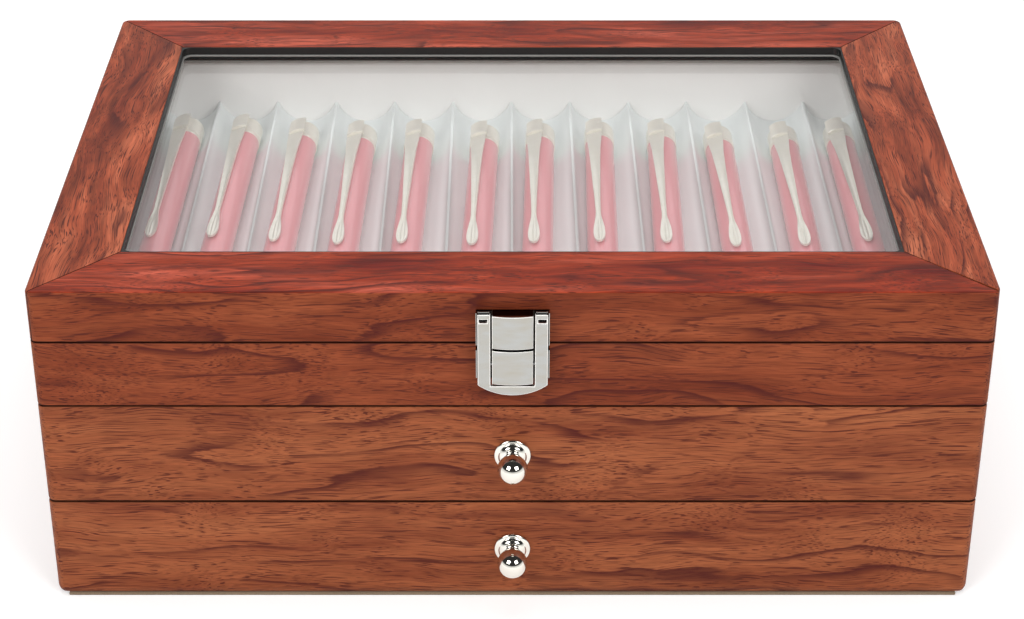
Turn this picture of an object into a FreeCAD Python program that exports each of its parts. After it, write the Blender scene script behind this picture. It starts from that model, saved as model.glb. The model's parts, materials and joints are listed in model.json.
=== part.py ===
import FreeCAD, Part
import math
import os
import re
from Sketcher import Constraint

# Pen collector chest: a case with a grooved top tray under a glazed, hinged lid, and two
# grooved drawers below it. Millimetres, +Z up, front towards -Y. The origin is the centre of
# the underside, where the chest stands.
#
# SIZES holds every driving dimension and fills the spreadsheet. FORMULAS names what follows
# from them. Both kinds of name are used in the formulas that bind the parts.

SIZES = {
    # Overall
    "chest_width": (340.0, "overall width"),
    "chest_depth": (240.0, "overall depth of the wooden body"),
    "corner_radius": (3.2, "rounding of the upright outer edges"),
    # Case boards
    "wall_thick": (12.5, "case wall, and the space that a drawer front fills"),
    "base_board_thick": (1.2, "felt-covered board under the whole chest"),
    "base_side_inset": (4.0, "base board edge inside the chest's left and right faces"),
    "base_front_inset": (0.3, "base board edge behind the chest's front and back faces"),
    "base_panel_thick": (3.8, "panel that the lower drawer runs on"),
    "shelf_thick": (3.0, "shelf between the drawers, and the tray floor"),
    "band_height": (26.1, "height of the case front above the drawers"),
    # Lid
    "lid_gap": (0.4, "gap between the case rim and the closed lid"),
    "lid_height": (20.0, "height of the lid"),
    "lid_edge_radius": (1.0, "rounding of the lid's top outer edges"),
    "lid_side_play": (0.5, "between the tray's lining and the lid's lining"),
    "lid_rail_width": (29.5, "width of the lid frame around the window"),
    "lid_lip_thick": (6.2, "thickness of the lid frame over the tray"),
    "rebate_width": (4.5, "how far the lip covers the glass"),
    "seal_thick": (0.8, "bead between the lip and the glass"),
    "seal_show": (0.5, "how far the bead stands inside the window liner"),
    "glass_thick": (2.0, "window glass"),
    "glass_side_gap": (0.2, "play between the glass edge and its rebate"),
    "liner_thick": (0.6, "liner of the window's inner edge"),
    "liner_drop": (0.2, "liner top below the lid's top face"),
    "window_radius": (3.5, "inner corner radius of the window trims"),
    "retainer_thick": (0.8, "frame that holds the glass from below"),
    "retainer_cover": (4.5, "how far that frame overlaps the lip beyond the rebate"),
    "retainer_back": (2.6, "how far that frame's inner edge stands back from the bead's"),
    "lid_lining_thick": (0.5, "lining of the lid's inside"),
    # Tray
    "lining_thick": (2.5, "lining boards around the tray"),
    "lining_rise": (6.4, "how far the lining stands above the case rim"),
    "insert_gap": (0.1, "play around each grooved insert"),
    "groove_count": (12, "pen grooves in each insert"),
    "groove_depth": (10.0, "depth of a pen groove"),
    "crest_width": (1.6, "ridge between two pen grooves, before it is rounded"),
    "groove_floor": (1.7, "insert thickness under a groove"),
    "insert_margin": (1.3, "insert edge outside the first groove's share"),
    "crest_radius": (0.6, "rounding of the ridges between grooves"),
    # Drawers
    "drawer_front_height": (40.9, "height of a drawer front"),
    "front_gap": (0.5, "gap above and below a drawer front"),
    "front_seat_gap": (0.3, "gap between a closed drawer front and the case"),
    "front_edge_radius": (0.8, "rounding of a drawer front's long edges"),
    "foot_radius": (3.4, "rounding of the lowest drawer front's bottom corners"),
    "drawer_board": (6.0, "thickness of a drawer's sides and back"),
    "drawer_floor_thick": (3.0, "thickness of a drawer's floor"),
    "drawer_floor_rise": (1.0, "drawer floor above the lower edge of its sides"),
    "drawer_side_gap": (0.8, "play beside a drawer"),
    "drawer_run_gap": (0.3, "play under a drawer"),
    "drawer_head_gap": (1.0, "play over a drawer"),
    "drawer_back_gap": (2.0, "room behind a closed drawer"),
    # Knobs
    "knob_flange_radius": (6.4, "flange against the drawer front"),
    "knob_flange_thick": (1.3, "flange thickness"),
    "knob_step_radius": (5.0, "stepped dome on the flange"),
    "knob_step_thick": (1.7, "dome height"),
    "knob_step_top": (3.6, "radius at the dome's top"),
    "knob_neck_radius": (2.6, "neck under the head"),
    "knob_head_radius": (5.0, "ball head"),
    "knob_length": (15.0, "from the drawer front to the end of the head"),
    "knob_screw_radius": (2.0, "machine screw through the drawer front"),
    "knob_screw_play": (0.15, "play of that screw in the wood"),
    "knob_screw_bite": (5.0, "depth of the screw in the knob"),
    "knob_screw_head_radius": (3.6, "screw head inside the drawer"),
    "knob_screw_head_thick": (2.2, "screw head thickness"),
    "knob_screw_head_play": (0.3, "play round the head, which is sunk in the drawer front"),
    # Hinges
    "hinge_width": (36.0, "length of a hinge along the back"),
    "hinge_from_end": (42.0, "hinge centre from the side of the chest"),
    "hinge_leaf_thick": (1.0, "leaf let into the wood"),
    "hinge_leaf_margin": (1.5, "wood left between a leaf and the inside of the lid's skirt"),
    "hinge_knuckle_radius": (2.0, "outside of the hinge barrel"),
    "hinge_back_gap": (0.3, "barrel behind the back face"),
    "hinge_pin_radius": (1.0, "hinge pin"),
    "hinge_pin_play": (0.05, "running clearance round the pin"),
    "hinge_knuckle_gap": (0.3, "play between knuckles"),
    "hinge_mid_knuckle": (12.0, "length of the lid's middle knuckle"),
    "hinge_screw_spread": (22.0, "between the two screws of a leaf"),
    "hinge_screw_radius": (1.0, "shank of a hinge screw"),
    "hinge_screw_head_radius": (1.9, "countersunk head"),
    "hinge_screw_length": (8.0, "whole length of a hinge screw"),
    # Latch
    "latch_width": (25.8, "overall width"),
    "latch_proud": (6.0, "how far the latch stands off the wood"),
    "latch_plate_thick": (0.8, "plates against the wood"),
    "latch_plate_gap": (0.3, "plate edge from the seam's own edge"),
    "latch_panel_width": (14.4, "raised middle panel"),
    "latch_panel_round": (0.9, "rounding of a panel's front edges"),
    "latch_keeper_height": (14.0, "keeper on the lid"),
    "latch_keeper_lip": (1.0, "keeper's plate above its raised panel"),
    "latch_base_height": (13.6, "base on the case"),
    "latch_ear_thick": (0.5, "side ears of the plates"),
    "latch_ear_reach": (1.5, "how far the base's ears reach in front of the pivot"),
    "latch_hook_gap": (0.6, "between the claw's rolled tops and the keeper's lugs"),
    "latch_arm_width": (4.3, "arm of the claw"),
    "latch_arm_thick": (1.4, "thickness of the claw"),
    "latch_arm_gap": (0.2, "claw to its neighbours"),
    "latch_arm_rise": (14.65, "arm top above the seam's middle"),
    "latch_claw_drop": (18.2, "lowest point of the claw below the seam's middle"),
    "latch_claw_sag": (4.2, "height of the claw's rounded lower edge"),
    "latch_window_gap": (0.4, "claw below the base panel"),
    "latch_roll_radius": (1.3, "rolled top of an arm"),
    "latch_slot_height": (1.1, "slot under the rolled top"),
    "latch_slot_width": (3.1, "width of that slot"),
    "latch_slot_top": (12.7, "slot's upper edge above the seam's middle"),
    "latch_lug_height": (1.6, "keeper lug behind a slot"),
    "latch_pivot_drop": (6.6, "claw pivot below the seam's middle"),
    "latch_lug_gap": (0.3, "between the claw's pivot lugs and the base plate"),
    "latch_pin_radius": (0.7, "pivot pin"),
    "latch_pin_play": (0.06, "running clearance round the pivot pin"),
    "latch_lug_radius": (1.8, "claw's lugs round the pivot pin"),
    "latch_tongue_width": (6.0, "tongue of the base that carries the spring"),
    "latch_tongue_short": (0.6, "tongue's end above the claw's lowest point"),
    "latch_spring_radius": (1.1, "return spring's coil, to the wire's middle"),
    "latch_spring_wire": (0.35, "return spring's wire"),
    "latch_spring_turns": (4.0, "turns of the return spring"),
    "nail_head_radius": (1.2, "latch nail head"),
    "nail_head_thick": (0.6, "latch nail head thickness"),
    "nail_radius": (0.6, "latch nail shank"),
    "nail_play": (0.1, "play of a nail in its plate"),
    "nail_length": (8.0, "latch nail under its head"),
    # Pens
    "pen_length": (150.0, "whole pen"),
    "pen_radius": (6.0, "barrel"),
    "pen_cap_step": (0.3, "plated end cap's radius beyond the barrel's"),
    "pen_cap_length": (13.8, "plated end cap"),
    "pen_tip_length": (17.0, "plated tip"),
    "pen_tip_radius": (1.4, "small end of the tip"),
    "pen_rest_gap": (0.1, "pen above the groove it rests in"),
    "clip_length": (98.4, "clip from its root to its end"),
    "clip_root_width": (7.6, "clip at its root"),
    "clip_neck_width": (2.0, "clip at its neck"),
    "clip_neck_at": (76.0, "neck from the root"),
    "clip_end_radius": (2.2, "rounded end of the clip"),
    "clip_thick": (1.0, "clip sheet"),
    "clip_lift": (0.9, "clip above the barrel"),
    "clip_root_length": (11.0, "root block on the end cap"),
}

FORMULAS = {
    "half_width": "chest_width / 2",
    "half_depth": "chest_depth / 2",
    "inner_width": "chest_width - 2 * wall_thick",
    "inner_depth": "chest_depth - 2 * wall_thick",
    # Heights of the fronts, the rim and the lid
    "lower_front_z": "base_board_thick + front_gap",
    "upper_front_z": "lower_front_z + drawer_front_height + front_gap",
    "band_z": "upper_front_z + drawer_front_height + front_gap",
    "rim_z": "band_z + band_height",
    "seam_z": "rim_z + lid_gap / 2",
    "lid_z": "rim_z + lid_gap",
    "top_z": "lid_z + lid_height",
    # Drawer bays
    "lower_bay_z": "base_board_thick + base_panel_thick",
    "shelf_z": "upper_front_z - front_gap / 2 - shelf_thick / 2",
    "upper_bay_z": "shelf_z + shelf_thick",
    "front_thick": "wall_thick - front_seat_gap",
    "front_back_y": "front_seat_gap + half_depth - wall_thick",
    # Lid
    "lid_skirt_thick": "wall_thick - lid_lining_thick - lid_side_play",
    "lip_z": "top_z - lid_lip_thick",
    "rebate_z": "lip_z + glass_thick + seal_thick",
    "glass_edge": "lid_rail_width - rebate_width + glass_side_gap",
    "liner_inner": "lid_rail_width + liner_thick",
    "seal_inner": "liner_inner + seal_show",
    "retainer_inner": "seal_inner - retainer_back",
    "retainer_outer": "lid_rail_width - rebate_width - retainer_cover",
    # Tray
    "tray_z": "band_z + shelf_thick",
    "tray_width": "inner_width - 2 * lining_thick",
    "tray_depth": "inner_depth - 2 * lining_thick",
    "lining_height": "band_height - shelf_thick + lining_rise",
    "insert_thick": "groove_floor + groove_depth",
    "tray_pitch": "(tray_width - 2 * insert_gap - 2 * insert_margin) / groove_count",
    "tray_groove_radius": "((tray_pitch - crest_width) ^ 2 / 4 + groove_depth ^ 2)"
                          " / (2 * groove_depth)",
    # Drawers
    "drawer_width": "inner_width - 2 * drawer_side_gap",
    "drawer_inner": "drawer_width - 2 * drawer_board",
    "drawer_length": "inner_depth + front_seat_gap - drawer_back_gap",
    "drawer_inner_length": "drawer_length - drawer_board",
    "knob_screw_sink": "knob_screw_head_thick + knob_screw_head_play",
    # Hinges
    "hinge_leaf_depth": "lid_skirt_thick - hinge_leaf_margin",
    "hinge_y": "half_depth + hinge_back_gap + hinge_knuckle_radius",
    "hinge_x": "half_width - hinge_from_end",
    "hinge_screw_y": "half_depth - hinge_leaf_depth / 2",
    "hinge_bore": "hinge_pin_radius + hinge_pin_play",
    # Latch
    "latch_half": "latch_width / 2",
    "latch_arm_outer": "latch_half - latch_ear_thick - latch_arm_gap / 2",
    "latch_arm_inner": "latch_arm_outer - latch_arm_width",
    "latch_back": "latch_proud - latch_arm_thick",
    "latch_keeper_z": "lid_z + latch_plate_gap",
    "latch_base_top_z": "rim_z - latch_plate_gap",
    "latch_window_z": "latch_base_top_z - latch_base_height - latch_window_gap",
    "latch_pivot_z": "seam_z - latch_pivot_drop",
    "latch_pivot_proud": "latch_plate_thick + latch_lug_gap + latch_lug_radius",
    "latch_ear_proud": "latch_pivot_proud + latch_ear_reach",
    "latch_flange_proud": "latch_proud - 2 * latch_roll_radius - latch_hook_gap",
    "latch_tongue_z": "seam_z - latch_claw_drop + latch_tongue_short",
    "latch_arc_radius": "(latch_arm_outer ^ 2 + latch_claw_sag ^ 2) / (2 * latch_claw_sag)",
    # Pens
    "pen_cap_radius": "pen_radius + pen_cap_step",
    "pen_end_room": "(tray_depth - pen_length) / 2",
    "pen_play": "tray_groove_radius - pen_cap_radius",
    "clip_z": "pen_radius + clip_lift",
}

# Where each pen's end cap and tip lie beside the groove's middle, as shares of the side room
# that the groove leaves the cap (0 in the middle, 1 against the groove's side).
PEN_CAP_ASIDE = [0.39, 0.31, 0.16, 0.05, -0.11, 0.25, -0.09, -0.17, -0.03, -0.27, 0.1, -0.16]
PEN_TIP_ASIDE = [0.22, -0.11, -0.31, -0.44, -0.59, -0.33, -0.6, -0.6, -0.57, -0.27, -0.1, -0.26]
# How far each pen lies behind the middle of the tray, as a share of the room there.
PEN_SET_BACK = [0.22, 0.22, 0.1, 0.0, 0.0, 0.0, 0.0, 0.04, 0.02, -0.03, 0.0, 0.12]
PEN_ROLL = -21.0  # the clips lean to the left of the pens' tops

X = FreeCAD.Vector(1, 0, 0)
Y = FreeCAD.Vector(0, 1, 0)
Z = FreeCAD.Vector(0, 0, 1)
ALONG_X = FreeCAD.Rotation(Y, 90)
TO_FRONT = FreeCAD.Rotation(X, 90)
UPSIDE_DOWN = FreeCAD.Rotation(X, 180)
BEYOND = "1"  # how far a cutting shape runs past the face it opens
START_SIZE = 10.0  # first size of a sketch's lines, before its constraints act
NEAR = 0.01  # distance under which an edge counts as lying on a face

DOC = FreeCAD.newDocument("pen_collector_chest")
SUB_PARTS = []


# ---------------------------------------------------------------- sheet and formulas

def fill_sheet():
    sheet = DOC.addObject("Spreadsheet::Sheet", "sizes")
    for row, (name, (number, meaning)) in enumerate(SIZES.items(), start=1):
        sheet.set(f"A{row}", name)
        sheet.set(f"B{row}", str(number))
        sheet.set(f"C{row}", meaning)
        sheet.setAlias(f"B{row}", name)
    DOC.recompute()


def size(name):
    """A driving size as the sheet holds it."""
    return float(DOC.getObject("sizes").get(name))


def expand(formula):
    """The formula as an expression on the sheet's cells."""
    def swap(match):
        word = match.group(0)
        if word in FORMULAS:
            return "(" + expand(FORMULAS[word]) + ")"
        if word in SIZES:
            return "sizes." + word
        return word
    return re.sub(r"[a-z]\w*", swap, formula)


def bind(thing, **formulas):
    for name, formula in formulas.items():
        thing.setExpression(name, expand(formula))


def place(thing, x="0", y="0", z="0"):
    for axis, formula in (("x", x), ("y", y), ("z", z)):
        thing.setExpression("Placement.Base." + axis, expand(formula))
    return thing


def add(kind, name):
    thing = DOC.addObject(kind, name)
    thing.Label = name
    return thing


def sub_part(thing):
    """Keep a finished object as one of the chest's own pieces."""
    SUB_PARTS.append(thing)
    return thing


# ---------------------------------------------------------------- shapes

def block(name, x, y, z, at):
    """Block of sizes x, y, z with its lowest corner at a point."""
    thing = add("Part::Box", name)
    bind(thing, Length=x, Width=y, Height=z)
    return place(thing, *at)


def centred_block(name, x, y, z, bottom):
    """Block centred on the upright axis, standing at a height."""
    return block(name, x, y, z, (f"-({x}) / 2", f"-({y}) / 2", bottom))


def rod(name, radius, length, at, turn=None):
    """Cylinder from a point, upright unless turned."""
    thing = add("Part::Cylinder", name)
    if turn:
        thing.Placement.Rotation = turn
    bind(thing, Radius=radius, Height=length)
    return place(thing, *at)


def cone(name, radius, end_radius, length, at, turn=None):
    thing = add("Part::Cone", name)
    if turn:
        thing.Placement.Rotation = turn
    bind(thing, Radius1=radius, Radius2=end_radius, Height=length)
    return place(thing, *at)


def join(name, pieces):
    thing = add("Part::MultiFuse", name)
    thing.Shapes = pieces
    thing.Refine = True
    return thing


def cut(name, base, tools):
    thing = add("Part::Cut", name)
    thing.Base = base
    thing.Tool = tools[0] if len(tools) == 1 else join(name + "_cutters", tools)
    thing.Refine = True
    return thing


def shared(name, first, second):
    thing = add("Part::Common", name)
    thing.Base = first
    thing.Tool = second
    thing.Refine = True
    return thing


def copies(name, piece, spots):
    """One sub-part made of copies of a piece; a spot is a rotation and three formulas."""
    links = []
    for count, (turn, at) in enumerate(spots, start=1):
        link = add("App::Link", f"{name}_{count}")
        link.LinkedObject = piece
        link.LinkTransform = True
        link.Placement.Rotation = turn
        links.append(place(link, *at))
    thing = add("Part::Compound", name)
    thing.Links = links
    return sub_part(thing)


# ---------------------------------------------------------------- PartDesign helpers

def new_body(name):
    return add("PartDesign::Body", name)


def new_sketch(body, name, role):
    sketch = body.newObject("Sketcher::SketchObject", name)
    planes = [plane for plane in body.Origin.OriginFeatures if plane.Role == role]
    sketch.AttachmentSupport = [(planes[0], "")]
    sketch.MapMode = "FlatFace"
    return sketch


def bind_constraint(sketch, constraint, name, formula):
    index = sketch.addConstraint(constraint)
    sketch.renameConstraint(index, name)
    sketch.setExpression("Constraints." + name, expand(formula))


def rectangle(sketch, width, height):
    """Rectangle centred on the sketch's origin."""
    half = START_SIZE / 2
    corners = [(-half, -half), (half, -half), (half, half), (-half, half)]
    for index, (x, y) in enumerate(corners):
        end_x, end_y = corners[(index + 1) % 4]
        line = Part.LineSegment(FreeCAD.Vector(x, y, 0), FreeCAD.Vector(end_x, end_y, 0))
        sketch.addGeometry(line)
    for index in range(4):
        sketch.addConstraint(Constraint("Coincident", index, 2, (index + 1) % 4, 1))
    for index in (0, 2):
        sketch.addConstraint(Constraint("Horizontal", index))
        sketch.addConstraint(Constraint("Vertical", index + 1))
    sketch.addConstraint(Constraint("Symmetric", 0, 1, 2, 1, -1, 1))
    bind_constraint(sketch, Constraint("DistanceX", 0, 1, 0, 2, START_SIZE), "wide", width)
    bind_constraint(sketch, Constraint("DistanceY", 1, 1, 1, 2, START_SIZE), "high", height)


def pad(body, sketch, length):
    feature = body.newObject("PartDesign::Pad", body.Name + "_pad")
    feature.Profile = sketch
    bind(feature, Length=length)
    DOC.recompute()
    return feature


def edges_where(shape, test):
    return [f"Edge{number}" for number, edge in enumerate(shape.Edges, start=1) if test(edge)]


def fillet(body, base, edge_names, radius, name):
    feature = body.newObject("PartDesign::Fillet", name)
    feature.Base = (base, edge_names)
    bind(feature, Radius=radius)
    DOC.recompute()
    return feature


def runs_along(edge, direction):
    start, end = edge.Vertexes[0].Point, edge.Vertexes[-1].Point
    return abs((end - start).dot(direction)) > edge.Length - NEAR


def rounded_block(name, width, depth, height, radius, bottom):
    """Upright block, centred, with its four upright edges rounded."""
    body = new_body(name)
    sketch = new_sketch(body, name + "_plan", "XY_Plane")
    rectangle(sketch, width, depth)
    solid = pad(body, sketch, height)
    upright = edges_where(solid.Shape, lambda edge: runs_along(edge, Z))
    fillet(body, solid, upright, radius, name + "_corners")
    return place(body, z=bottom)


def ring(name, outer_inset, inner_inset, height, bottom):
    """Flat frame; insets are from the chest's outer faces, inner corners rounded."""
    outer = centred_block(name + "_outer", f"chest_width - 2 * ({outer_inset})",
                          f"chest_depth - 2 * ({outer_inset})", height, bottom)
    opening = rounded_block(name + "_opening", f"chest_width - 2 * ({inner_inset})",
                            f"chest_depth - 2 * ({inner_inset})",
                            f"({height}) + 2 * {BEYOND}", "window_radius",
                            f"({bottom}) - {BEYOND}")
    return cut(name, outer, [opening])


# ---------------------------------------------------------------- mitred boards

def mitre_wedges():
    """Four upright prisms that meet on the corner diagonals and part a frame into boards."""
    wedges = {}
    sides = {
        "front": ("chest_width", 0, ("0", "-half_depth", "0")),
        "right": ("chest_depth", 90, ("half_width", "0", "0")),
        "back": ("chest_width", 180, ("0", "half_depth", "0")),
        "left": ("chest_depth", -90, ("-half_width", "0", "0")),
    }
    for side, (length, angle, at) in sides.items():
        wedge = add("Part::Wedge", "mitre_" + side)
        wedge.Placement.Rotation = FreeCAD.Rotation(Z, angle)
        bind(wedge, Xmin=f"-{length} / 2", Xmax=f"{length} / 2", Ymin="0",
             Ymax="lid_rail_width", Zmin="0", Zmax="top_z", Z2min="0", Z2max="top_z",
             X2min=f"lid_rail_width - {length} / 2", X2max=f"{length} / 2 - lid_rail_width")
        wedges[side] = place(wedge, *at)
    return wedges


def hinge_pockets(name, bottom):
    """Recesses for the two hinge leaves in a rim."""
    pockets = []
    for side, sign in (("left", "-"), ("right", "")):
        pockets.append(block(f"{name}_{side}", "hinge_width", f"hinge_leaf_depth + {BEYOND}",
                             "hinge_leaf_thick",
                             (f"{sign}hinge_x - hinge_width / 2",
                              "half_depth - hinge_leaf_depth", bottom)))
    return pockets


def make_case_walls(wedges):
    blank = rounded_block("case_blank", "chest_width", "chest_depth",
                          "rim_z - base_board_thick", "corner_radius", "base_board_thick")
    inside = centred_block("case_inside", "inner_width", "inner_depth", "top_z", "0")
    drawer_space = block("case_drawer_space", "chest_width", "wall_thick", "band_z",
                         ("-half_width", "-half_depth", "0"))
    pockets = hinge_pockets("case_hinge_pocket", "rim_z - hinge_leaf_thick")
    frame = cut("case_frame", blank, [inside, drawer_space] + pockets)
    names = {"front": "case_front_rail", "back": "case_back",
             "left": "case_side_left", "right": "case_side_right"}
    for side, name in names.items():
        sub_part(shared(name, frame, wedges[side]))


def make_case_panels():
    sub_part(centred_block("base_board", "chest_width - 2 * base_side_inset",
                           "chest_depth - 2 * base_front_inset", "base_board_thick", "0"))
    sub_part(centred_block("base_panel", "inner_width", "inner_depth", "base_panel_thick",
                           "base_board_thick"))
    sub_part(centred_block("drawer_shelf", "inner_width", "inner_depth", "shelf_thick",
                           "shelf_z"))
    sub_part(centred_block("tray_floor", "inner_width", "inner_depth", "shelf_thick", "band_z"))


def make_tray_lining():
    long_side = ("inner_width", "lining_thick", "lining_height")
    short_side = ("lining_thick", "tray_depth", "lining_height")
    sub_part(block("tray_lining_front", *long_side,
                   ("-inner_width / 2", "-inner_depth / 2", "tray_z")))
    sub_part(block("tray_lining_back", *long_side,
                   ("-inner_width / 2", "inner_depth / 2 - lining_thick", "tray_z")))
    sub_part(block("tray_lining_left", *short_side,
                   ("-inner_width / 2", "-tray_depth / 2", "tray_z")))
    sub_part(block("tray_lining_right", *short_side,
                   ("inner_width / 2 - lining_thick", "-tray_depth / 2", "tray_z")))


def make_insert(name, width, length, at):
    """Pad with a row of round-bottomed grooves along Y and softened ridges between them."""
    pitch = f"(({width}) - 2 * insert_margin) / groove_count"
    radius = f"(({pitch} - crest_width) ^ 2 / 4 + groove_depth ^ 2) / (2 * groove_depth)"
    body = new_body(name)
    profile = new_sketch(body, name + "_section", "XZ_Plane")
    rectangle(profile, width, "insert_thick")
    solid = pad(body, profile, length)
    circle_sketch = new_sketch(body, name + "_groove_section", "XZ_Plane")
    circle_sketch.addGeometry(Part.Circle(FreeCAD.Vector(-START_SIZE, START_SIZE, 0), Z, 1))
    for constraint, label, formula in (
            (Constraint("Radius", 0, 1), "round", radius),
            (Constraint("DistanceX", 0, 3, -1, 1, START_SIZE), "first",
             f"(groove_count - 1) / 2 * {pitch}"),
            (Constraint("DistanceY", -1, 1, 0, 3, START_SIZE), "up",
             f"groove_floor + {radius} - insert_thick / 2")):
        bind_constraint(circle_sketch, constraint, label, formula)
    groove = body.newObject("PartDesign::Pocket", name + "_groove")
    groove.Profile = circle_sketch
    groove.Type = "ThroughAll"
    groove.Reversed = True
    DOC.recompute()
    if groove.Shape.Volume >= solid.Shape.Volume:
        raise RuntimeError(f"{name}: the groove cut nothing")
    row = body.newObject("PartDesign::LinearPattern", name + "_grooves")
    row.Originals = [groove]
    row.Direction = (circle_sketch, ["H_Axis"])
    bind(row, Length=f"(groove_count - 1) * {pitch}", Occurrences="groove_count")
    body.Tip = row
    DOC.recompute()
    top = row.Shape.BoundBox.ZMax

    def is_crest(edge):
        return runs_along(edge, Y) and edge.BoundBox.ZMin > top - NEAR
    crests = edges_where(row.Shape, is_crest)
    body.Tip = fillet(body, row, crests, "crest_radius", name + "_crests")
    x, y, z = at
    return sub_part(place(body, x, f"({y}) + ({length})", f"({z}) + insert_thick / 2"))


# ---------------------------------------------------------------- lid

def make_lid(wedges):
    body = new_body("lid_blank")
    sketch = new_sketch(body, "lid_blank_plan", "XY_Plane")
    rectangle(sketch, "chest_width", "chest_depth")
    solid = pad(body, sketch, "lid_height")
    upright = edges_where(solid.Shape, lambda edge: runs_along(edge, Z))
    corners = fillet(body, solid, upright, "corner_radius", "lid_blank_corners")
    top = corners.Shape.BoundBox.ZMax
    rim = edges_where(corners.Shape, lambda edge: edge.BoundBox.ZMin > top - NEAR)
    fillet(body, corners, rim, "lid_edge_radius", "lid_blank_top_edges")
    place(body, z="lid_z")
    window = centred_block("lid_window", "chest_width - 2 * lid_rail_width",
                           "chest_depth - 2 * lid_rail_width", "2 * top_z", "0")
    hollow = centred_block("lid_hollow", "chest_width - 2 * lid_skirt_thick",
                           "chest_depth - 2 * lid_skirt_thick", "lip_z", "0")
    rebate = centred_block("lid_rebate", "chest_width - 2 * (lid_rail_width - rebate_width)",
                           "chest_depth - 2 * (lid_rail_width - rebate_width)", "rebate_z", "0")
    pockets = hinge_pockets("lid_hinge_pocket", "lid_z")
    frame = cut("lid_frame", body, [window, hollow, rebate] + pockets)
    for side in wedges:
        sub_part(shared("lid_rail_" + side, frame, wedges[side]))


def make_lid_lining():
    """Thin lining under the lip and down the inside of the skirt."""
    lining_bottom = "lid_z + lid_lining_thick"
    outer = centred_block("lid_lining_outer", "chest_width - 2 * lid_skirt_thick",
                          "chest_depth - 2 * lid_skirt_thick", f"lip_z - ({lining_bottom})",
                          lining_bottom)
    inset = "2 * (lid_skirt_thick + lid_lining_thick)"
    room = centred_block("lid_lining_room", f"chest_width - {inset}", f"chest_depth - {inset}",
                         "lip_z - lid_lining_thick", "0")
    opening = centred_block("lid_lining_opening", "chest_width - 2 * retainer_outer",
                            "chest_depth - 2 * retainer_outer", "top_z", "0")
    sub_part(cut("lid_lining", outer, [room, opening]))


def make_glazing():
    sub_part(ring("window_liner", "lid_rail_width", "liner_inner",
                  "top_z - liner_drop - rebate_z", "rebate_z"))
    sub_part(ring("glazing_seal", "glass_edge", "seal_inner", "seal_thick",
                  "rebate_z - seal_thick"))
    sub_part(centred_block("glass_pane", "chest_width - 2 * glass_edge",
                           "chest_depth - 2 * glass_edge", "glass_thick", "lip_z"))
    sub_part(ring("glass_retainer", "retainer_outer", "retainer_inner", "retainer_thick",
                  "lip_z - retainer_thick"))


# ---------------------------------------------------------------- drawers

def make_drawer_front(name, bottom, lowest):
    """Overlay front, bored and counterbored for the knob's screw; the lowest has round feet."""
    body = new_body(name + "_board")
    sketch = new_sketch(body, name + "_face", "XZ_Plane")
    rectangle(sketch, "chest_width", "drawer_front_height")
    solid = pad(body, sketch, "front_thick")
    front_y = solid.Shape.BoundBox.YMin

    def on_front(edge):
        return edge.BoundBox.YMax < front_y + NEAR
    upright = edges_where(solid.Shape, lambda edge: on_front(edge) and runs_along(edge, Z))
    step = fillet(body, solid, upright, "corner_radius", name + "_corners")
    if lowest:
        low = step.Shape.BoundBox.ZMin
        feet = edges_where(step.Shape, lambda edge: runs_along(edge, Y)
                           and edge.BoundBox.ZMax < low + NEAR)
        step = fillet(body, step, feet, "foot_radius", name + "_feet")
    long_edges = edges_where(step.Shape, lambda edge: on_front(edge) and runs_along(edge, X))
    fillet(body, step, long_edges, "front_edge_radius", name + "_long_edges")
    middle = f"{bottom} + drawer_front_height / 2"
    place(body, y="-front_back_y", z=middle)
    start = ("0", f"-front_back_y + {BEYOND}", middle)
    hole = rod(name + "_hole", "knob_screw_radius + knob_screw_play",
               f"front_thick + 2 * {BEYOND}", start, TO_FRONT)
    counterbore = rod(name + "_counterbore", "knob_screw_head_radius + knob_screw_head_play",
                      f"knob_screw_sink + {BEYOND}", start, TO_FRONT)
    sub_part(cut(name, body, [hole, counterbore]))


def make_knob(name, middle):
    """Turned knob: flange, stepped dome, neck and ball, drilled for its screw."""
    face = "-half_depth"
    dome = f"{face} - knob_flange_thick"
    ball = add("Part::Sphere", name + "_ball")
    bind(ball, Radius="knob_head_radius")
    place(ball, "0", f"{face} - knob_length + knob_head_radius", middle)
    pieces = [
        rod(name + "_flange", "knob_flange_radius", "knob_flange_thick",
            ("0", face, middle), TO_FRONT),
        cone(name + "_dome", "knob_step_radius", "knob_step_top", "knob_step_thick",
             ("0", dome, middle), TO_FRONT),
        rod(name + "_neck", "knob_neck_radius", "knob_length - knob_head_radius",
            ("0", face, middle), TO_FRONT),
        ball,
    ]
    drilling = rod(name + "_drilling", "knob_screw_radius", f"knob_screw_bite + {BEYOND}",
                   ("0", f"{face} + {BEYOND}", middle), TO_FRONT)
    sub_part(cut(name, join(name + "_solid", pieces), [drilling]))
    seat = "-front_back_y - knob_screw_sink"
    head = rod(name + "_screw_head", "knob_screw_head_radius", "knob_screw_head_thick",
               ("0", f"{seat} + knob_screw_head_thick", middle), TO_FRONT)
    shank = rod(name + "_screw_shank", "knob_screw_radius",
                "front_thick - knob_screw_sink + knob_screw_bite", ("0", seat, middle), TO_FRONT)
    sub_part(join(name + "_screw", [head, shank]))


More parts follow.
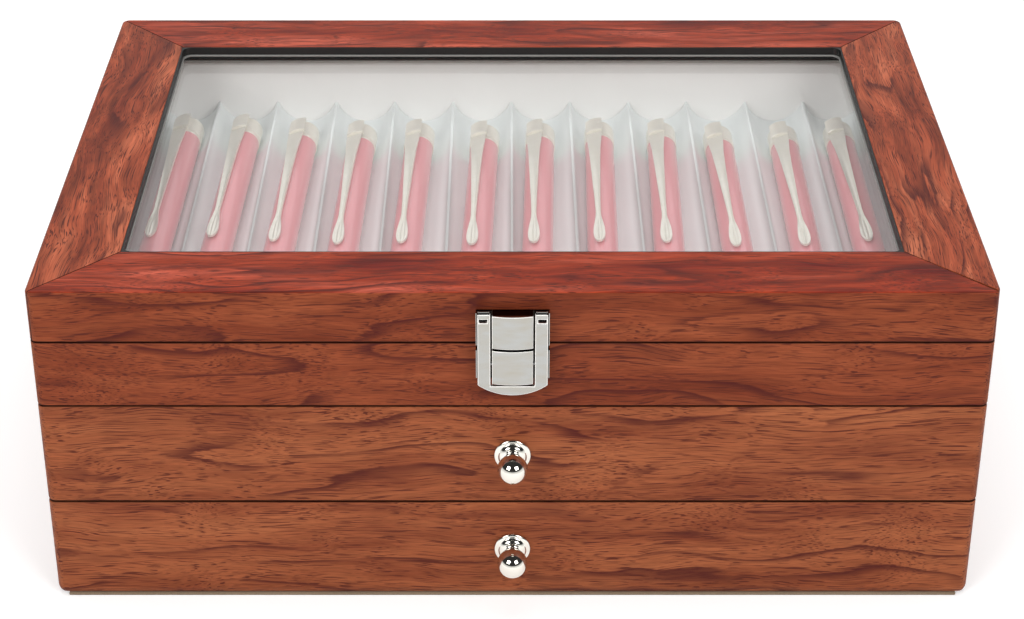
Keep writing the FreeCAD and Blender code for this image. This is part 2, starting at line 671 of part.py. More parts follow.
def make_drawer(prefix, front_z, bay_z, bay_top, lowest):
    make_drawer_front(prefix + "_front", front_z, lowest)
    make_knob(prefix + "_knob", f"{front_z} + drawer_front_height / 2")
    bottom = f"{bay_z} + drawer_run_gap"
    height = f"{bay_top} - {bay_z} - drawer_run_gap - drawer_head_gap"
    start = "-front_back_y"
    side = ("drawer_board", "drawer_length", height)
    sub_part(block(prefix + "_side_left", *side, ("-drawer_width / 2", start, bottom)))
    sub_part(block(prefix + "_side_right", *side,
                   ("drawer_width / 2 - drawer_board", start, bottom)))
    sub_part(block(prefix + "_back", "drawer_inner", "drawer_board", height,
                   ("-drawer_inner / 2", "drawer_inner_length - front_back_y", bottom)))
    floor = f"{bottom} + drawer_floor_rise"
    sub_part(block(prefix + "_floor", "drawer_inner", "drawer_inner_length",
                   "drawer_floor_thick", ("-drawer_inner / 2", start, floor)))
    make_insert(prefix + "_insert", "drawer_inner - 2 * insert_gap",
                "drawer_inner_length - 2 * insert_gap",
                ("0", f"{start} + insert_gap", f"{floor} + drawer_floor_thick"))


# ---------------------------------------------------------------- hinges

def hinge_leaf(name, x, leaf_z, spans, screw_turn):
    """Leaf with its knuckles; a span is where a knuckle starts and ends, from the middle."""
    plate = block(name + "_plate", "hinge_width", "hinge_leaf_depth", "hinge_leaf_thick",
                  (f"{x} - hinge_width / 2", "half_depth - hinge_leaf_depth", leaf_z))
    pieces = [plate]
    for number, (start, end) in enumerate(spans, start=1):
        start_x = f"{x} + {start}"
        length = f"({end}) - ({start})"
        pieces.append(block(f"{name}_strap_{number}", length, "hinge_y - half_depth",
                            "hinge_leaf_thick", (start_x, "half_depth", leaf_z)))
        pieces.append(rod(f"{name}_knuckle_{number}", "hinge_knuckle_radius", length,
                          (start_x, "hinge_y", "seam_z"), ALONG_X))
    bore = rod(name + "_bore", "hinge_bore", f"hinge_width + 2 * {BEYOND}",
               (f"{x} - hinge_width / 2 - {BEYOND}", "hinge_y", "seam_z"), ALONG_X)
    outside = leaf_z if screw_turn is None else f"{leaf_z} + hinge_leaf_thick"
    sinks = []
    for number, sign in enumerate(("-", "+"), start=1):
        sinks.append(cone(f"{name}_sink_{number}", "hinge_screw_radius",
                          "hinge_screw_head_radius", "hinge_leaf_thick",
                          (f"{x} {sign} hinge_screw_spread / 2", "hinge_screw_y", outside),
                          screw_turn))
    return sub_part(cut(name, join(name + "_solid", pieces), [bore] + sinks))


def make_hinges():
    outer = "hinge_width / 2"
    gap = "hinge_mid_knuckle / 2 + hinge_knuckle_gap"
    case_spans = [(f"-{outer}", f"-({gap})"), (gap, outer)]
    lid_spans = [("-hinge_mid_knuckle / 2", "hinge_mid_knuckle / 2")]
    for side, x in (("left", "-hinge_x"), ("right", "hinge_x")):
        hinge_leaf("hinge_case_leaf_" + side, x, "rim_z - hinge_leaf_thick", case_spans, None)
        hinge_leaf("hinge_lid_leaf_" + side, x, "lid_z", lid_spans, UPSIDE_DOWN)
        sub_part(rod("hinge_pin_" + side, "hinge_pin_radius", "hinge_width",
                     (f"{x} - hinge_width / 2", "hinge_y", "seam_z"), ALONG_X))
    make_hinge_screws()


def make_hinge_screws():
    """Countersunk wood screws; the piece itself points down from its head's flat."""
    head = cone("hinge_screw_head", "hinge_screw_head_radius", "hinge_screw_radius",
                "hinge_leaf_thick", ("0", "0", "0"), UPSIDE_DOWN)
    shank = rod("hinge_screw_shank", "hinge_screw_radius", "hinge_screw_length",
                ("0", "0", "0"), UPSIDE_DOWN)
    screw = join("hinge_screw", [head, shank])
    down = []
    up = []
    for x in ("-hinge_x", "hinge_x"):
        for sign in ("-", "+"):
            spot_x = f"{x} {sign} hinge_screw_spread / 2"
            down.append((FreeCAD.Rotation(), (spot_x, "hinge_screw_y", "rim_z")))
            up.append((UPSIDE_DOWN, (spot_x, "hinge_screw_y", "lid_z")))
    copies("hinge_case_screws", screw, down)
    copies("hinge_lid_screws", screw, up)


# ---------------------------------------------------------------- latch

def off_front(distance):
    """Y of a point that stands a distance off the chest's front face."""
    return f"-half_depth - ({distance})"


def latch_plate(name, bottom, height):
    """Thin plate against the wood, as wide as the latch."""
    return block(name, "latch_width", "latch_plate_thick", height,
                 ("-latch_half", off_front("latch_plate_thick"), bottom))


def latch_panel(name, bottom, height):
    """Raised middle panel with its front edges rounded."""
    body = new_body(name)
    sketch = new_sketch(body, name + "_face", "XZ_Plane")
    rectangle(sketch, "latch_panel_width", height)
    solid = pad(body, sketch, "latch_proud - latch_plate_thick / 2")
    front_y = solid.Shape.BoundBox.YMin
    rim = edges_where(solid.Shape, lambda edge: edge.BoundBox.YMax < front_y + NEAR)
    fillet(body, solid, rim, "latch_panel_round", name + "_rim")
    return place(body, y=off_front("latch_plate_thick / 2"), z=f"{bottom} + ({height}) / 2")


def latch_sides(name, bottom, height, proud):
    """The plate's two folded edges."""
    sides = []
    for side, x in (("left", "-latch_half"), ("right", "latch_half - latch_ear_thick")):
        sides.append(block(f"{name}_{side}", "latch_ear_thick", proud, height,
                           (x, off_front(proud), bottom)))
    return sides


def nail_holes(name, spots):
    """Holes for nails that point into the wood from a plate's face."""
    holes = []
    for number, (x, y, z) in enumerate(spots, start=1):
        holes.append(rod(f"{name}_{number}", "nail_radius + nail_play",
                         f"latch_plate_thick + 2 * {BEYOND}",
                         (x, f"{y} + latch_plate_thick + {BEYOND}", z), TO_FRONT))
    return holes


def nail_spots(z):
    """One nail behind each arm of the claw."""
    aside = "(latch_arm_inner + latch_arm_width / 2)"
    return [(f"{sign}{aside}", off_front("latch_plate_thick"), z) for sign in ("-", "")]


def make_keeper():
    plate = latch_plate("keeper_plate", "latch_keeper_z", "latch_keeper_height")
    panel = latch_panel("keeper_panel", "latch_keeper_z",
                        "latch_keeper_height - latch_keeper_lip")
    flanges = latch_sides("keeper_flange", "latch_keeper_z", "latch_keeper_height",
                          "latch_flange_proud")
    lugs = []
    for side, x in (("left", "-latch_arm_outer"), ("right", "latch_arm_inner")):
        lugs.append(block("keeper_lug_" + side, "latch_arm_width", "latch_flange_proud",
                          "latch_lug_height",
                          (x, off_front("latch_flange_proud"),
                           "seam_z + latch_slot_top - latch_lug_height")))
    spots = nail_spots("latch_keeper_z + latch_keeper_height / 3")
    solid = join("keeper_solid", [plate, panel] + flanges + lugs)
    sub_part(cut("latch_keeper", solid, nail_holes("keeper_nail_hole", spots)))
    return spots


def make_base():
    bottom = "latch_base_top_z - latch_base_height"
    plate = latch_plate("base_plate", bottom, "latch_base_height")
    panel = latch_panel("base_raised_panel", bottom, "latch_base_height")
    ears = latch_sides("base_ear", bottom, "latch_base_height", "latch_ear_proud")
    tongue = block("base_tongue", "latch_tongue_width", "latch_plate_thick",
                   f"{bottom} - latch_tongue_z",
                   ("-latch_tongue_width / 2", off_front("latch_plate_thick"),
                    "latch_tongue_z"))
    bore = rod("base_bore", "latch_pin_radius", f"latch_width + 2 * {BEYOND}",
               (f"-latch_half - {BEYOND}", off_front("latch_pivot_proud"), "latch_pivot_z"),
               ALONG_X)
    spots = nail_spots(f"{bottom} + 2 * nail_head_radius")
    holes = nail_holes("base_nail_hole", spots)
    solid = join("base_solid", [plate, panel, tongue] + ears)
    sub_part(cut("latch_base", solid, [bore] + holes))
    sub_part(rod("latch_pin", "latch_pin_radius", "latch_width",
                 ("-latch_half", off_front("latch_pivot_proud"), "latch_pivot_z"), ALONG_X))
    return spots


def make_latch_nails(keeper_spots, base_spots):
    """Round-headed nails; the piece itself points down from its head."""
    head = rod("nail_head", "nail_head_radius", "nail_head_thick", ("0", "0", "0"))
    shank = rod("nail_shank", "nail_radius", "nail_length + latch_plate_thick",
                ("0", "0", "-nail_length - latch_plate_thick"))
    nail = join("latch_nail", [head, shank])
    copies("latch_keeper_nails", nail, [(TO_FRONT, at) for at in keeper_spots])
    copies("latch_base_nails", nail, [(TO_FRONT, at) for at in base_spots])


def make_claw():
    """U-shaped claw: two arms with rolled tops and slots, joined by a rounded lower part."""
    low = "seam_z - latch_claw_drop"
    face = off_front("latch_proud")
    plate = block("claw_plate", "2 * latch_arm_outer", "latch_arm_thick",
                  "latch_claw_drop + latch_arm_rise", ("-latch_arm_outer", face, low))
    arc = rod("claw_arc", "latch_arc_radius", f"latch_arm_thick + 2 * {BEYOND}",
              ("0", off_front(f"latch_back - {BEYOND}"), f"{low} + latch_arc_radius"), TO_FRONT)
    arc_top = block("claw_arc_top", "latch_width", f"latch_arm_thick + 2 * {BEYOND}",
                    "latch_claw_drop + latch_arm_rise - latch_claw_sag",
                    ("-latch_half", off_front(f"latch_proud + {BEYOND}"),
                     f"{low} + latch_claw_sag"))
    outline = shared("claw_outline", plate, join("claw_limits", [arc, arc_top]))
    opening = block("claw_opening", "2 * latch_arm_inner", f"latch_arm_thick + 2 * {BEYOND}",
                    "top_z", ("-latch_arm_inner", off_front(f"latch_proud + {BEYOND}"),
                              "latch_window_z"))
    slots = []
    rolls = []
    lugs = []
    for side, sign in (("left", "-"), ("right", "")):
        middle = f"{sign}(latch_arm_inner + latch_arm_width / 2)"
        slots.append(block("claw_slot_" + side, "latch_slot_width",
                           f"latch_arm_thick + 2 * {BEYOND}", "latch_slot_height",
                           (f"{middle} - latch_slot_width / 2",
                            off_front(f"latch_proud + {BEYOND}"),
                            "seam_z + latch_slot_top - latch_slot_height")))
        start = f"{middle} - latch_arm_width / 2"
        rolls.append(rod("claw_roll_" + side, "latch_roll_radius", "latch_arm_width",
                         (start, off_front("latch_proud - latch_roll_radius"),
                          "seam_z + latch_arm_rise - latch_roll_radius / 2"), ALONG_X))
        lugs.append(rod("claw_lug_" + side, "latch_lug_radius", "latch_arm_width",
                        (start, off_front("latch_pivot_proud"), "latch_pivot_z"), ALONG_X))
        lugs.append(block("claw_web_" + side, "latch_arm_width",
                          "latch_back - latch_pivot_proud + latch_arm_thick / 2",
                          "2 * latch_lug_radius",
                          (start, off_front("latch_back + latch_arm_thick / 2"),
                           "latch_pivot_z - latch_lug_radius")))
    bore = rod("claw_bore", "latch_pin_radius + latch_pin_play", f"latch_width + 2 * {BEYOND}",
               (f"-latch_half - {BEYOND}", off_front("latch_pivot_proud"), "latch_pivot_z"),
               ALONG_X)
    frame = cut("claw_frame", outline, [opening] + slots)
    sub_part(cut("latch_claw", join("claw_solid", [frame] + rolls + lugs), [bore]))


def make_latch_spring():
    """Compression spring between the base's tongue and the claw's lower part."""
    wire = size("latch_spring_wire")
    coil = size("latch_spring_radius")
    gap = size("latch_proud") - size("latch_arm_thick") - size("latch_plate_thick")
    length = gap - 2 * wire
    helix = Part.makeHelix(length / size("latch_spring_turns"), length, coil)
    section = Part.Wire([Part.makeCircle(wire / 2, FreeCAD.Vector(coil, 0, 0), Y)])
    spring = add("Part::Feature", "latch_spring")
    spring.Shape = Part.Wire(helix).makePipeShell([section], True, True)
    spring.Placement.Rotation = TO_FRONT
    place(spring, "0", off_front("latch_plate_thick + latch_spring_wire"),
          "latch_tongue_z + latch_spring_radius + latch_spring_wire")
    sub_part(spring)


def make_latch():
    keeper_spots = make_keeper()
    base_spots = make_base()
    make_latch_nails(keeper_spots, base_spots)
    make_claw()
    make_latch_spring()


# ---------------------------------------------------------------- pens

def pen_spots():
    """Where each pen lies: a pen beside its groove's middle rests higher on the curve."""
    groove = DOC.getObject("tray_insert_groove_section").getDatum("round").Value
    play = groove - size("pen_radius") - size("pen_cap_step")
    reach = size("pen_length") - size("pen_tip_length")
    spots = []
    for number in range(int(size("groove_count"))):
        cap_aside = PEN_CAP_ASIDE[number % len(PEN_CAP_ASIDE)]
        tip_aside = PEN_TIP_ASIDE[number % len(PEN_TIP_ASIDE)]
        turn = math.degrees(math.asin((tip_aside - cap_aside) * play / reach))
        sink = math.sqrt(1 - max(abs(cap_aside), abs(tip_aside)) ** 2)
        x = f"({number} - (groove_count - 1) / 2) * tray_pitch + {cap_aside} * pen_play"
        z = f"tray_z + groove_floor + tray_groove_radius - {sink} * pen_play + pen_rest_gap"
        y = f"pen_length / 2 + {PEN_SET_BACK[number % len(PEN_SET_BACK)]} * pen_end_room"
        spots.append((FreeCAD.Rotation(Z, turn), (x, y, z)))
    return spots


def make_pen_clip():
    """Tapering strip with a rounded end, over the barrel and rolled to its left."""
    strip = add("Part::Wedge", "clip_strip")
    half_root = "clip_root_width / 2"
    half_neck = "clip_neck_width / 2"
    bind(strip, Xmin=f"-{half_root}", Xmax=half_root, X2min=f"-{half_neck}", X2max=half_neck,
         Ymin="0", Ymax="clip_neck_at", Zmin="0", Z2min="0", Zmax="clip_thick",
         Z2max="clip_thick")
    strip.Placement.Rotation = FreeCAD.Rotation(Z, 180)
    place(strip, y="-clip_root_length", z="clip_z")
    tail = cone("clip_tail", "clip_neck_width / 2", "clip_end_radius",
                "clip_length - clip_neck_at - clip_end_radius",
                ("0", "-clip_root_length - clip_neck_at", "clip_z"), TO_FRONT)
    tail_room = block("clip_tail_room", "4 * clip_end_radius", "clip_length", "clip_thick",
                      ("-2 * clip_end_radius", "-clip_root_length - clip_length", "clip_z"))
    end = rod("clip_end", "clip_end_radius", "clip_thick",
              ("0", "-clip_root_length - clip_length + clip_end_radius", "clip_z"))
    root = block("clip_root", "clip_root_width", "clip_root_length",
                 "clip_lift + clip_thick + pen_radius - pen_cap_radius",
                 ("-clip_root_width / 2", "-clip_root_length", "pen_cap_radius"))
    clip = join("pen_clip", [strip, shared("clip_taper", tail, tail_room), end, root])
    clip.Placement.Rotation = FreeCAD.Rotation(Y, PEN_ROLL)
    return clip


def make_pens():
    spots = pen_spots()
    cap = rod("pen_end_cap", "pen_cap_radius", "pen_cap_length", ("0", "0", "0"), TO_FRONT)
    barrel = rod("pen_barrel", "pen_radius", "pen_length - pen_cap_length - pen_tip_length",
                 ("0", "-pen_cap_length", "0"), TO_FRONT)
    tip = cone("pen_tip", "pen_radius", "pen_tip_radius", "pen_tip_length",
               ("0", "pen_tip_length - pen_length", "0"), TO_FRONT)
    copies("pen_caps", cap, spots)
    copies("pen_barrels", barrel, spots)
    copies("pen_tips", tip, spots)
    copies("pen_clips", make_pen_clip(), spots)


# ---------------------------------------------------------------- whole chest

def build():
    fill_sheet()
    wedges = mitre_wedges()
    make_case_walls(wedges)
    make_case_panels()
    make_tray_lining()
    make_insert("tray_insert", "tray_width - 2 * insert_gap", "tray_depth - 2 * insert_gap",
                ("0", "-tray_depth / 2 + insert_gap", "tray_z"))
    make_lid(wedges)
    make_lid_lining()
    make_glazing()
    make_drawer("upper_drawer", "upper_front_z", "upper_bay_z", "band_z", False)
    make_drawer("lower_drawer", "lower_front_z", "lower_bay_z", "shelf_z", True)
    make_hinges()
    make_latch()
    make_pens()
    DOC.recompute()


def check():
    """Refuse a failed feature, and an empty or invalid sub-part."""
    for thing in DOC.Objects:
        if "Invalid" in thing.State or "Error" in thing.State:
            raise RuntimeError(f"{thing.Label}: {thing.State}")
    for thing in SUB_PARTS:
        if thing.Shape.isNull() or not thing.Shape.isValid() or not thing.Shape.Solids:
            raise RuntimeError(f"{thing.Label}: bad shape")


def write():
    os.makedirs("parts", exist_ok=True)
    for thing in SUB_PARTS:
        thing.Shape.exportStep(f"parts/{thing.Label}.step")
        print(thing.Label, len(thing.Shape.Solids), "solids", round(thing.Shape.Volume, 1))
    print(len(SUB_PARTS), "sub-parts")


build()
check()
write()
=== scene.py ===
import json
import math

import bmesh
import bpy
from mathutils import Matrix, Vector


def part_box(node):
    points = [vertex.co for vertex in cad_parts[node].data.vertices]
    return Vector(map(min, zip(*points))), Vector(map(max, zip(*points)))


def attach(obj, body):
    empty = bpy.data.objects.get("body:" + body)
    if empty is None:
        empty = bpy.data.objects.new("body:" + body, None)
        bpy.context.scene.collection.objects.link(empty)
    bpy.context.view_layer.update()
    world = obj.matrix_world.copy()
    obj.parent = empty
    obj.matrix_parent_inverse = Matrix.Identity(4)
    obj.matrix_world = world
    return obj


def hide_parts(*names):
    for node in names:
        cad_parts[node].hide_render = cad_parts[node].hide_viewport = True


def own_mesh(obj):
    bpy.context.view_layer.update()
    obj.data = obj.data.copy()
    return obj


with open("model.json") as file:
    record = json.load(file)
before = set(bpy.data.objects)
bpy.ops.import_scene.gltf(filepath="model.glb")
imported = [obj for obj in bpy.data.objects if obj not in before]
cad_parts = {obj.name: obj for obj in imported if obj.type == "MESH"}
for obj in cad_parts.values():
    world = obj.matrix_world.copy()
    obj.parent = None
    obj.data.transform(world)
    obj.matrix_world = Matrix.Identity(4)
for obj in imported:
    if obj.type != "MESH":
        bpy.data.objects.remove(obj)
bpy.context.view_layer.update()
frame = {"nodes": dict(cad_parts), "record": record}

# Pen collector chest: veneered case and lid, glazed window, grooved and flocked trays, spring
# latch, ball knobs and twelve lacquered pens. Metres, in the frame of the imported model; the
# sizes below are in millimetres. The chest faces -Y.

MM = 0.001
SHARP = 35.0  # degrees between faces, past which an edge is shaded sharp
LATHE_STEPS = 64  # sides of a turned piece
FRONT_FACE = -120.0  # Y of the wood's front face

# Broken edges.
BOARD_EDGE = 0.35  # veneered boards
LINING_EDGE = 0.3  # flocked wall linings
DRAWER_EDGE = 0.4  # drawer sides and backs
LEAF_EDGE = 0.15  # hinge leaves
TRIM_EDGE = 0.12  # black trims round the window
BEAD_EDGE = 0.25  # glazing bead
FELT_EDGE = 0.4  # felt under the base

FOOT_DROP = 0.45  # how much nearer the felt the lowest front comes down
FOOT_HEIGHT = 8.0  # height over which it does
FOOT_ROUND = 1.0  # height of the rounding at its lower edge, and how far that is kept
FOOT_CRISP = 0.25
MITRE = 50.0  # the lid's mitres lie where |x| - |y| is this
MITRE_OUTER = 165.0  # a mitre's outer corner is past this |x|
MITRE_OPENING = 1.1

# Grooved inserts.
GROOVE_COLUMNS = 769  # points across an insert: 64 in each of 12 grooves
GROOVE_MARGIN = 1.3  # flat at each end
GROOVE_FLOOR = 1.7  # material under a groove
GROOVE_CREST = 1.6  # flat between grooves
CREST_SOFTNESS = 11.0  # rounding of a crest
CREST_LOW = 93.5  # heights between which painted shade comes onto the tray's crests
CREST_HIGH = 98.5
CREST_FRONT = 10.0  # and how far back it does
CREST_BACK = 90.0

# Pens.
PEN_LENGTH = 150.0
PEN_CAP = 13.8  # end cap's length
CAP_RADIUS = 6.3
BARREL_RADIUS = 6.0
END_BAND = 1.0  # what lies this near a packed barrel's end is that end
PEN_TIP = 17.0  # tip's length
CLIP_TOP = 7.9  # top of the clip above the pen's axis
CLIP_ROOT = 11.0  # length of the clip's saddle
CLIP_LEAN = 21.0  # degrees that the clip leans to the left
CLIP_COLUMNS = 12  # divisions across the clip
CLIP_ROWS = 72  # and along it, this much closer towards its end
CLIP_CROWDING = 1.6
CLIP_SHEET = 0.8
CLIP_FLAT_AT = 20.0  # where its section starts to flatten, and how fast its radius grows
CLIP_FLATTEN = 0.6
CLIP_DROP_AT = 88.0  # where the drop at its end starts, and the length that it swells over
CLIP_DROP = 12.0
CLIP_STRAIGHTEN = 14.0  # degrees that the clip would turn back over the pen's length
SADDLE_HALF = 3.8  # half of the saddle's width
CLIP_DISH = 0.7  # how far its rims stand above its middle
CLIP_LEVEL = 0.6  # share of that which lies below its top
CLIP_SUNK = 0.3  # its top below the saddle's
CLIP_SWELL = 0.25  # how much its end rises, and the share of the dish that it loses
CLIP_FILL = 0.8
CLIP_DIP = 1.3  # depth of the step down from the saddle
CLIP_DIP_LENGTH = 2.2
CLIP_FLUTE = 0.2  # height of the flutes on its end

# Knobs.
KNOB_BALL = 5.5  # radius
KNOB_REACH = 15.0  # from the wood to the ball's front

# Veneer.
UPPER_BOARDS = 84.25  # height above which the darker sheet is laid
UPPER_TINT = (0.80, 0.64, 0.62)
FRONT_STREAK = 0.13  # how much the fine streaks lighten and darken
TOP_STREAK = 0.36
PLAIN_LINES = 0.55  # strength of the growth lines on the plainer back and sides
GRAIN_WANDER = 20.0  # how far the grain strays
GROWTH_PITCH = 19.0  # from one growth line to the next
END_GRAIN = 0.7  # a face that looks this much along the grain is a strip's end
CUT_STEP = (0.41, 0.137, 0.0)  # metres on the sheet from one board to the next
TOP_CUTS = 3.3  # boards from the front's to the top's
PORE_DEPTH = 0.08
SEAM_SHADE = (0.32, 0.62)  # painted shade at seams: its dark half width, and where it ends
MITRE_LINE = (0.1, 0.5)
FRONT_SEAMS = (42.85, 84.25, 110.8)  # heights of the seams on the front
FRONT_TONES = ("#A15D3B", "#955233", "#7C3E26")
TOP_TONES = ("#B85540", "#94371F", "#641A14")
RAIL_TONES = ("#BF6B4C", "#9C4B31", "#74301F")
GROWTH_LINE = "#4A1A17"
PORE = "#54231A"
# colour of the painted shade at seams, and of the dark line along mitres
SEAM_SHADE_AND_MITRE_LINE = "#1C0A07"

# Relief of the other materials.
NAP_DEPTH = 0.2
MOULD_DEPTH = 0.05

# Latch: widths from its middle, heights above the base, and how far parts stand off the wood.
LATCH_HALF = 12.9
LATCH_PROUD = 6.0
PLATE = 0.8  # plates against the wood
PANEL_HALF = 7.2  # raised middle panels
PANEL_CROWN = 0.9  # how much prouder a panel's middle is than its sides
PANEL_COLUMNS = 16
WALL = 0.5  # side walls of the keeper and base
KEEPER_LIP = 1.0  # keeper's plate above its panel
KEEPER_WALL = 2.8
BASE_HEIGHT = 13.6
BASE_WALL = 4.4
EAR_SHORT = 2.2  # base's side walls above its lower edge
TONGUE_HALF = 3.0  # tongue behind the spring
ARM_INNER = 7.85  # claw's arms
ARM_OUTER = 12.3
ARM_TOP = 125.45
LUG_PROUD = 2.8  # keeper's lugs behind the slots
LUG_LOW = 120.2
LUG_HIGH = 123.5
CLAW_LOW = 92.6  # lowest point of the claw
CLAW_SAG = 4.2  # height of its rounded lower edge
CLAW_WINDOW = 96.3  # lower edge of its opening
CLAW_BAR = 0.8  # least height of its lower bar
CLAW_SHEET = 1.4
CLAW_EDGE = 0.42
SLOT_INSIDE = 0.95  # arm beside a slot, towards the middle and outside
SLOT_OUTSIDE = 0.5
SLOT_LOW = 122.1
SLOT_HIGH = 123.5
BITE = 0.2  # where walls and lugs start inside a plate
PANEL_BITE = 0.4  # where panels do
TONGUE_LAP = 0.5  # tongue's overlap with the base
FOLD = 0.5  # folded edges of the arms
FOLD_BITE = 0.5  # overlap with the sheet
FOLD_SHORT = 0.6  # how far above the claw's lower edge they start
FOLD_PROUD = 3.0
FOLD_TOP = 121.2
ROLL_PROUD = 4.7  # rolled tops
ROLL_Z = 124.8
ROLL_PROFILE = ((8.0, 1.1), (8.12, 1.3), (8.5, 1.3), (8.62, 1.2), (11.68, 1.2), (11.8, 1.3),
                (12.18, 1.3), (12.3, 1.1))
PIVOT_PROUD = 2.9
PIVOT_Z = 104.2
PIVOT_LUG = 1.8
PIVOT_PROFILE = ((ARM_INNER, PIVOT_LUG - 0.2), (ARM_INNER + 0.2, PIVOT_LUG),
                 (ARM_OUTER - 0.2, PIVOT_LUG), (ARM_OUTER, PIVOT_LUG - 0.2))
PANEL_RIM = 0.5  # rounded rims of the raised panels, which take the painted rim highlight
PLATING_EDGE = 0.2  # broken edges of the thinner plates
FOLD_EDGE = 0.12
PAINTED_SHADE_CLEAR = 4.9  # painted shade on the latch: none this far off the wood, full below the next
PAINTED_SHADE_FULL = 4.2
NAIL_DOME = 0.6  # height and radius of a nail's head
NAIL_HEAD = 1.2
SCREW_TWISTS = (0.3, 1.1, 0.7, 1.4)  # radians, as a hand leaves them
SCREW_SLOT = (1.2, 0.22, 0.55)  # reach, half width and depth of a screw's crossed slots


# ---------------- colours and nodes

def linear(hex_colour):
    """An sRGB hex colour as linear light, opaque."""
    channels = [int(hex_colour[place:place + 2], 16) / 255 for place in (1, 3, 5)]
    return [c / 12.92 if c <= 0.04045 else ((c + 0.055) / 1.055) ** 2.4 for c in channels] + [1.0]


def add(tree, kind, inputs=None, **settings):
    """Add a node; a short kind is a shader node's. An input is a plain value, a socket, or a
    node, which gives its first output."""
    new = tree.nodes.new(kind if "Node" in kind else "ShaderNode" + kind)
    for name, setting in settings.items():
        setattr(new, name, setting)
    for key, value in (inputs or {}).items():
        if isinstance(value, bpy.types.Node):
            value = value.outputs[0]
        if isinstance(value, bpy.types.NodeSocket):
            tree.links.new(value, new.inputs[key])
        else:
            new.inputs[key].default_value = value
    return new


WORDS = {  # a recipe's word: kind of node, its inputs in order, its first output, its settings
    "range": ("MapRange", range(5), 0, {}),
    "smooth": ("MapRange", range(5), 0, {"interpolation_type": "SMOOTHSTEP"}),
    "blend": ("Mix", (0, 6, 7), 2, {"data_type": "RGBA"}),
    "choose": ("Mix", (0, 4, 5), 1, {"data_type": "VECTOR"}),
    "plus": ("VectorMath", (0, 1), 0, {"operation": "ADD"}),
    "minus": ("VectorMath", (0, 1), 0, {"operation": "SUBTRACT"}),
    "times": ("VectorMath", (0, 1), 0, {"operation": "MULTIPLY"}),
    "scale": ("VectorMath", (0, 3), 0, {"operation": "SCALE"}),
    "split": ("SeparateXYZ", (0,), 0, {}),
    "join": ("CombineXYZ", range(3), 0, {}),
    "clamp": ("Clamp", range(3), 0, {}),
    "bump": ("Bump", ("Height", "Strength", "Distance"), 0, {}),
}


SIGNS = {"+": "ADD", "-": "SUBTRACT", "*": "MULTIPLY", "/": "DIVIDE", ">": "GREATER_THAN",
         "<": "LESS_THAN", "*+": "MULTIPLY_ADD"}


def work(tree, known, recipe, **more):
    """Add the nodes of a recipe and put their outputs in known, by name.

    Each line reads "names = word values", or "name = a * b + c" with any of SIGNS. A word in
    capitals is a sum's operation, any other is in WORDS. A value is a number or a known name:
    blend, for one, takes the share, the colour at 0 and the colour at 1, and range takes the
    value, its two ends and what they become. A text in more is a hex colour."""
    for name, value in more.items():
        known[name] = linear(value) if isinstance(value, str) else value
    for line in recipe.strip().splitlines():
        names, call = line.split("=")
        word, *values = call.split()
        if values[0] in SIGNS:
            word, values = SIGNS["".join(values[::2])], [word, *values[1::2]]
        kind, keys, first, settings = WORDS.get(word, ("Math", range(3), 0,
                                                       {"operation": word}))
        inputs = {key: known[value] if value in known else float(value)
                  for key, value in zip(keys, values)}
        known.update(zip(names.split(), add(tree, kind, inputs, **settings).outputs[first:]))
    return known


def marks(tree, vector, along, across, detail, shift=(0.0, 0.0, 0.0), roughness=0.5):
    """Noise whose marks are this long along X, and this wide, in millimetres."""
    scale = (1 / (along * MM), 1 / (across * MM), 1 / (across * MM))
    place = add(tree, "Mapping", {"Vector": vector, "Scale": scale, "Location": shift})
    return add(tree, "TexNoise", {"Vector": place, "Scale": 1.0, "Detail": detail,
                                  "Roughness": roughness})


def material(paint):
    """Turn a function that draws a shader into one that makes a named material with it."""
    def make(name, *values, **options):
        made = bpy.data.materials.new(name)
        made.use_nodes = True
        tree = made.node_tree
        tree.nodes.clear()
        spot = add(tree, "TexCoord").outputs["Object"]
        shader = paint(tree, spot, *values, **options)
        add(tree, "OutputMaterial", {"Surface": shader})
        return made
    return make


SURFACE = {"colour": "Base Color", "rough": "Roughness", "relief": "Normal"}


def principled(tree, known, inputs):
    """Shader with the colour, roughness and relief that a recipe made, and these inputs."""
    drawn = {SURFACE[name]: known[name] for name in SURFACE if name in known}
    return add(tree, "BsdfPrincipled", {**drawn, **inputs})


# ---------------- wood

FIGURE_LAYERS = {  # length and width of a layer's marks (mm), detail, place in the noise
    "tone": (100, 12, 3.0),
    "streaks": (38, 2.4, 4.0, (5.3, 2.9, 1.1)),
    "fibre": (9, 0.5, 3.0),
    "rings": (150, 26, 1.5, (0.7, 0.0, 4.0)),
    "fade": (75, 16, 2.0, (3.1, 1.7, 0.4)),
    "pore": (15.0, 0.33, 0.3, (1.9, 0.3, 7.7)),
    "crowd": (26, 4, 2.0, (8.1, 0.0, 0.9)),
}
FIGURE_MASKS = ("tone", "streaks", "lines", "pores", "fibre")


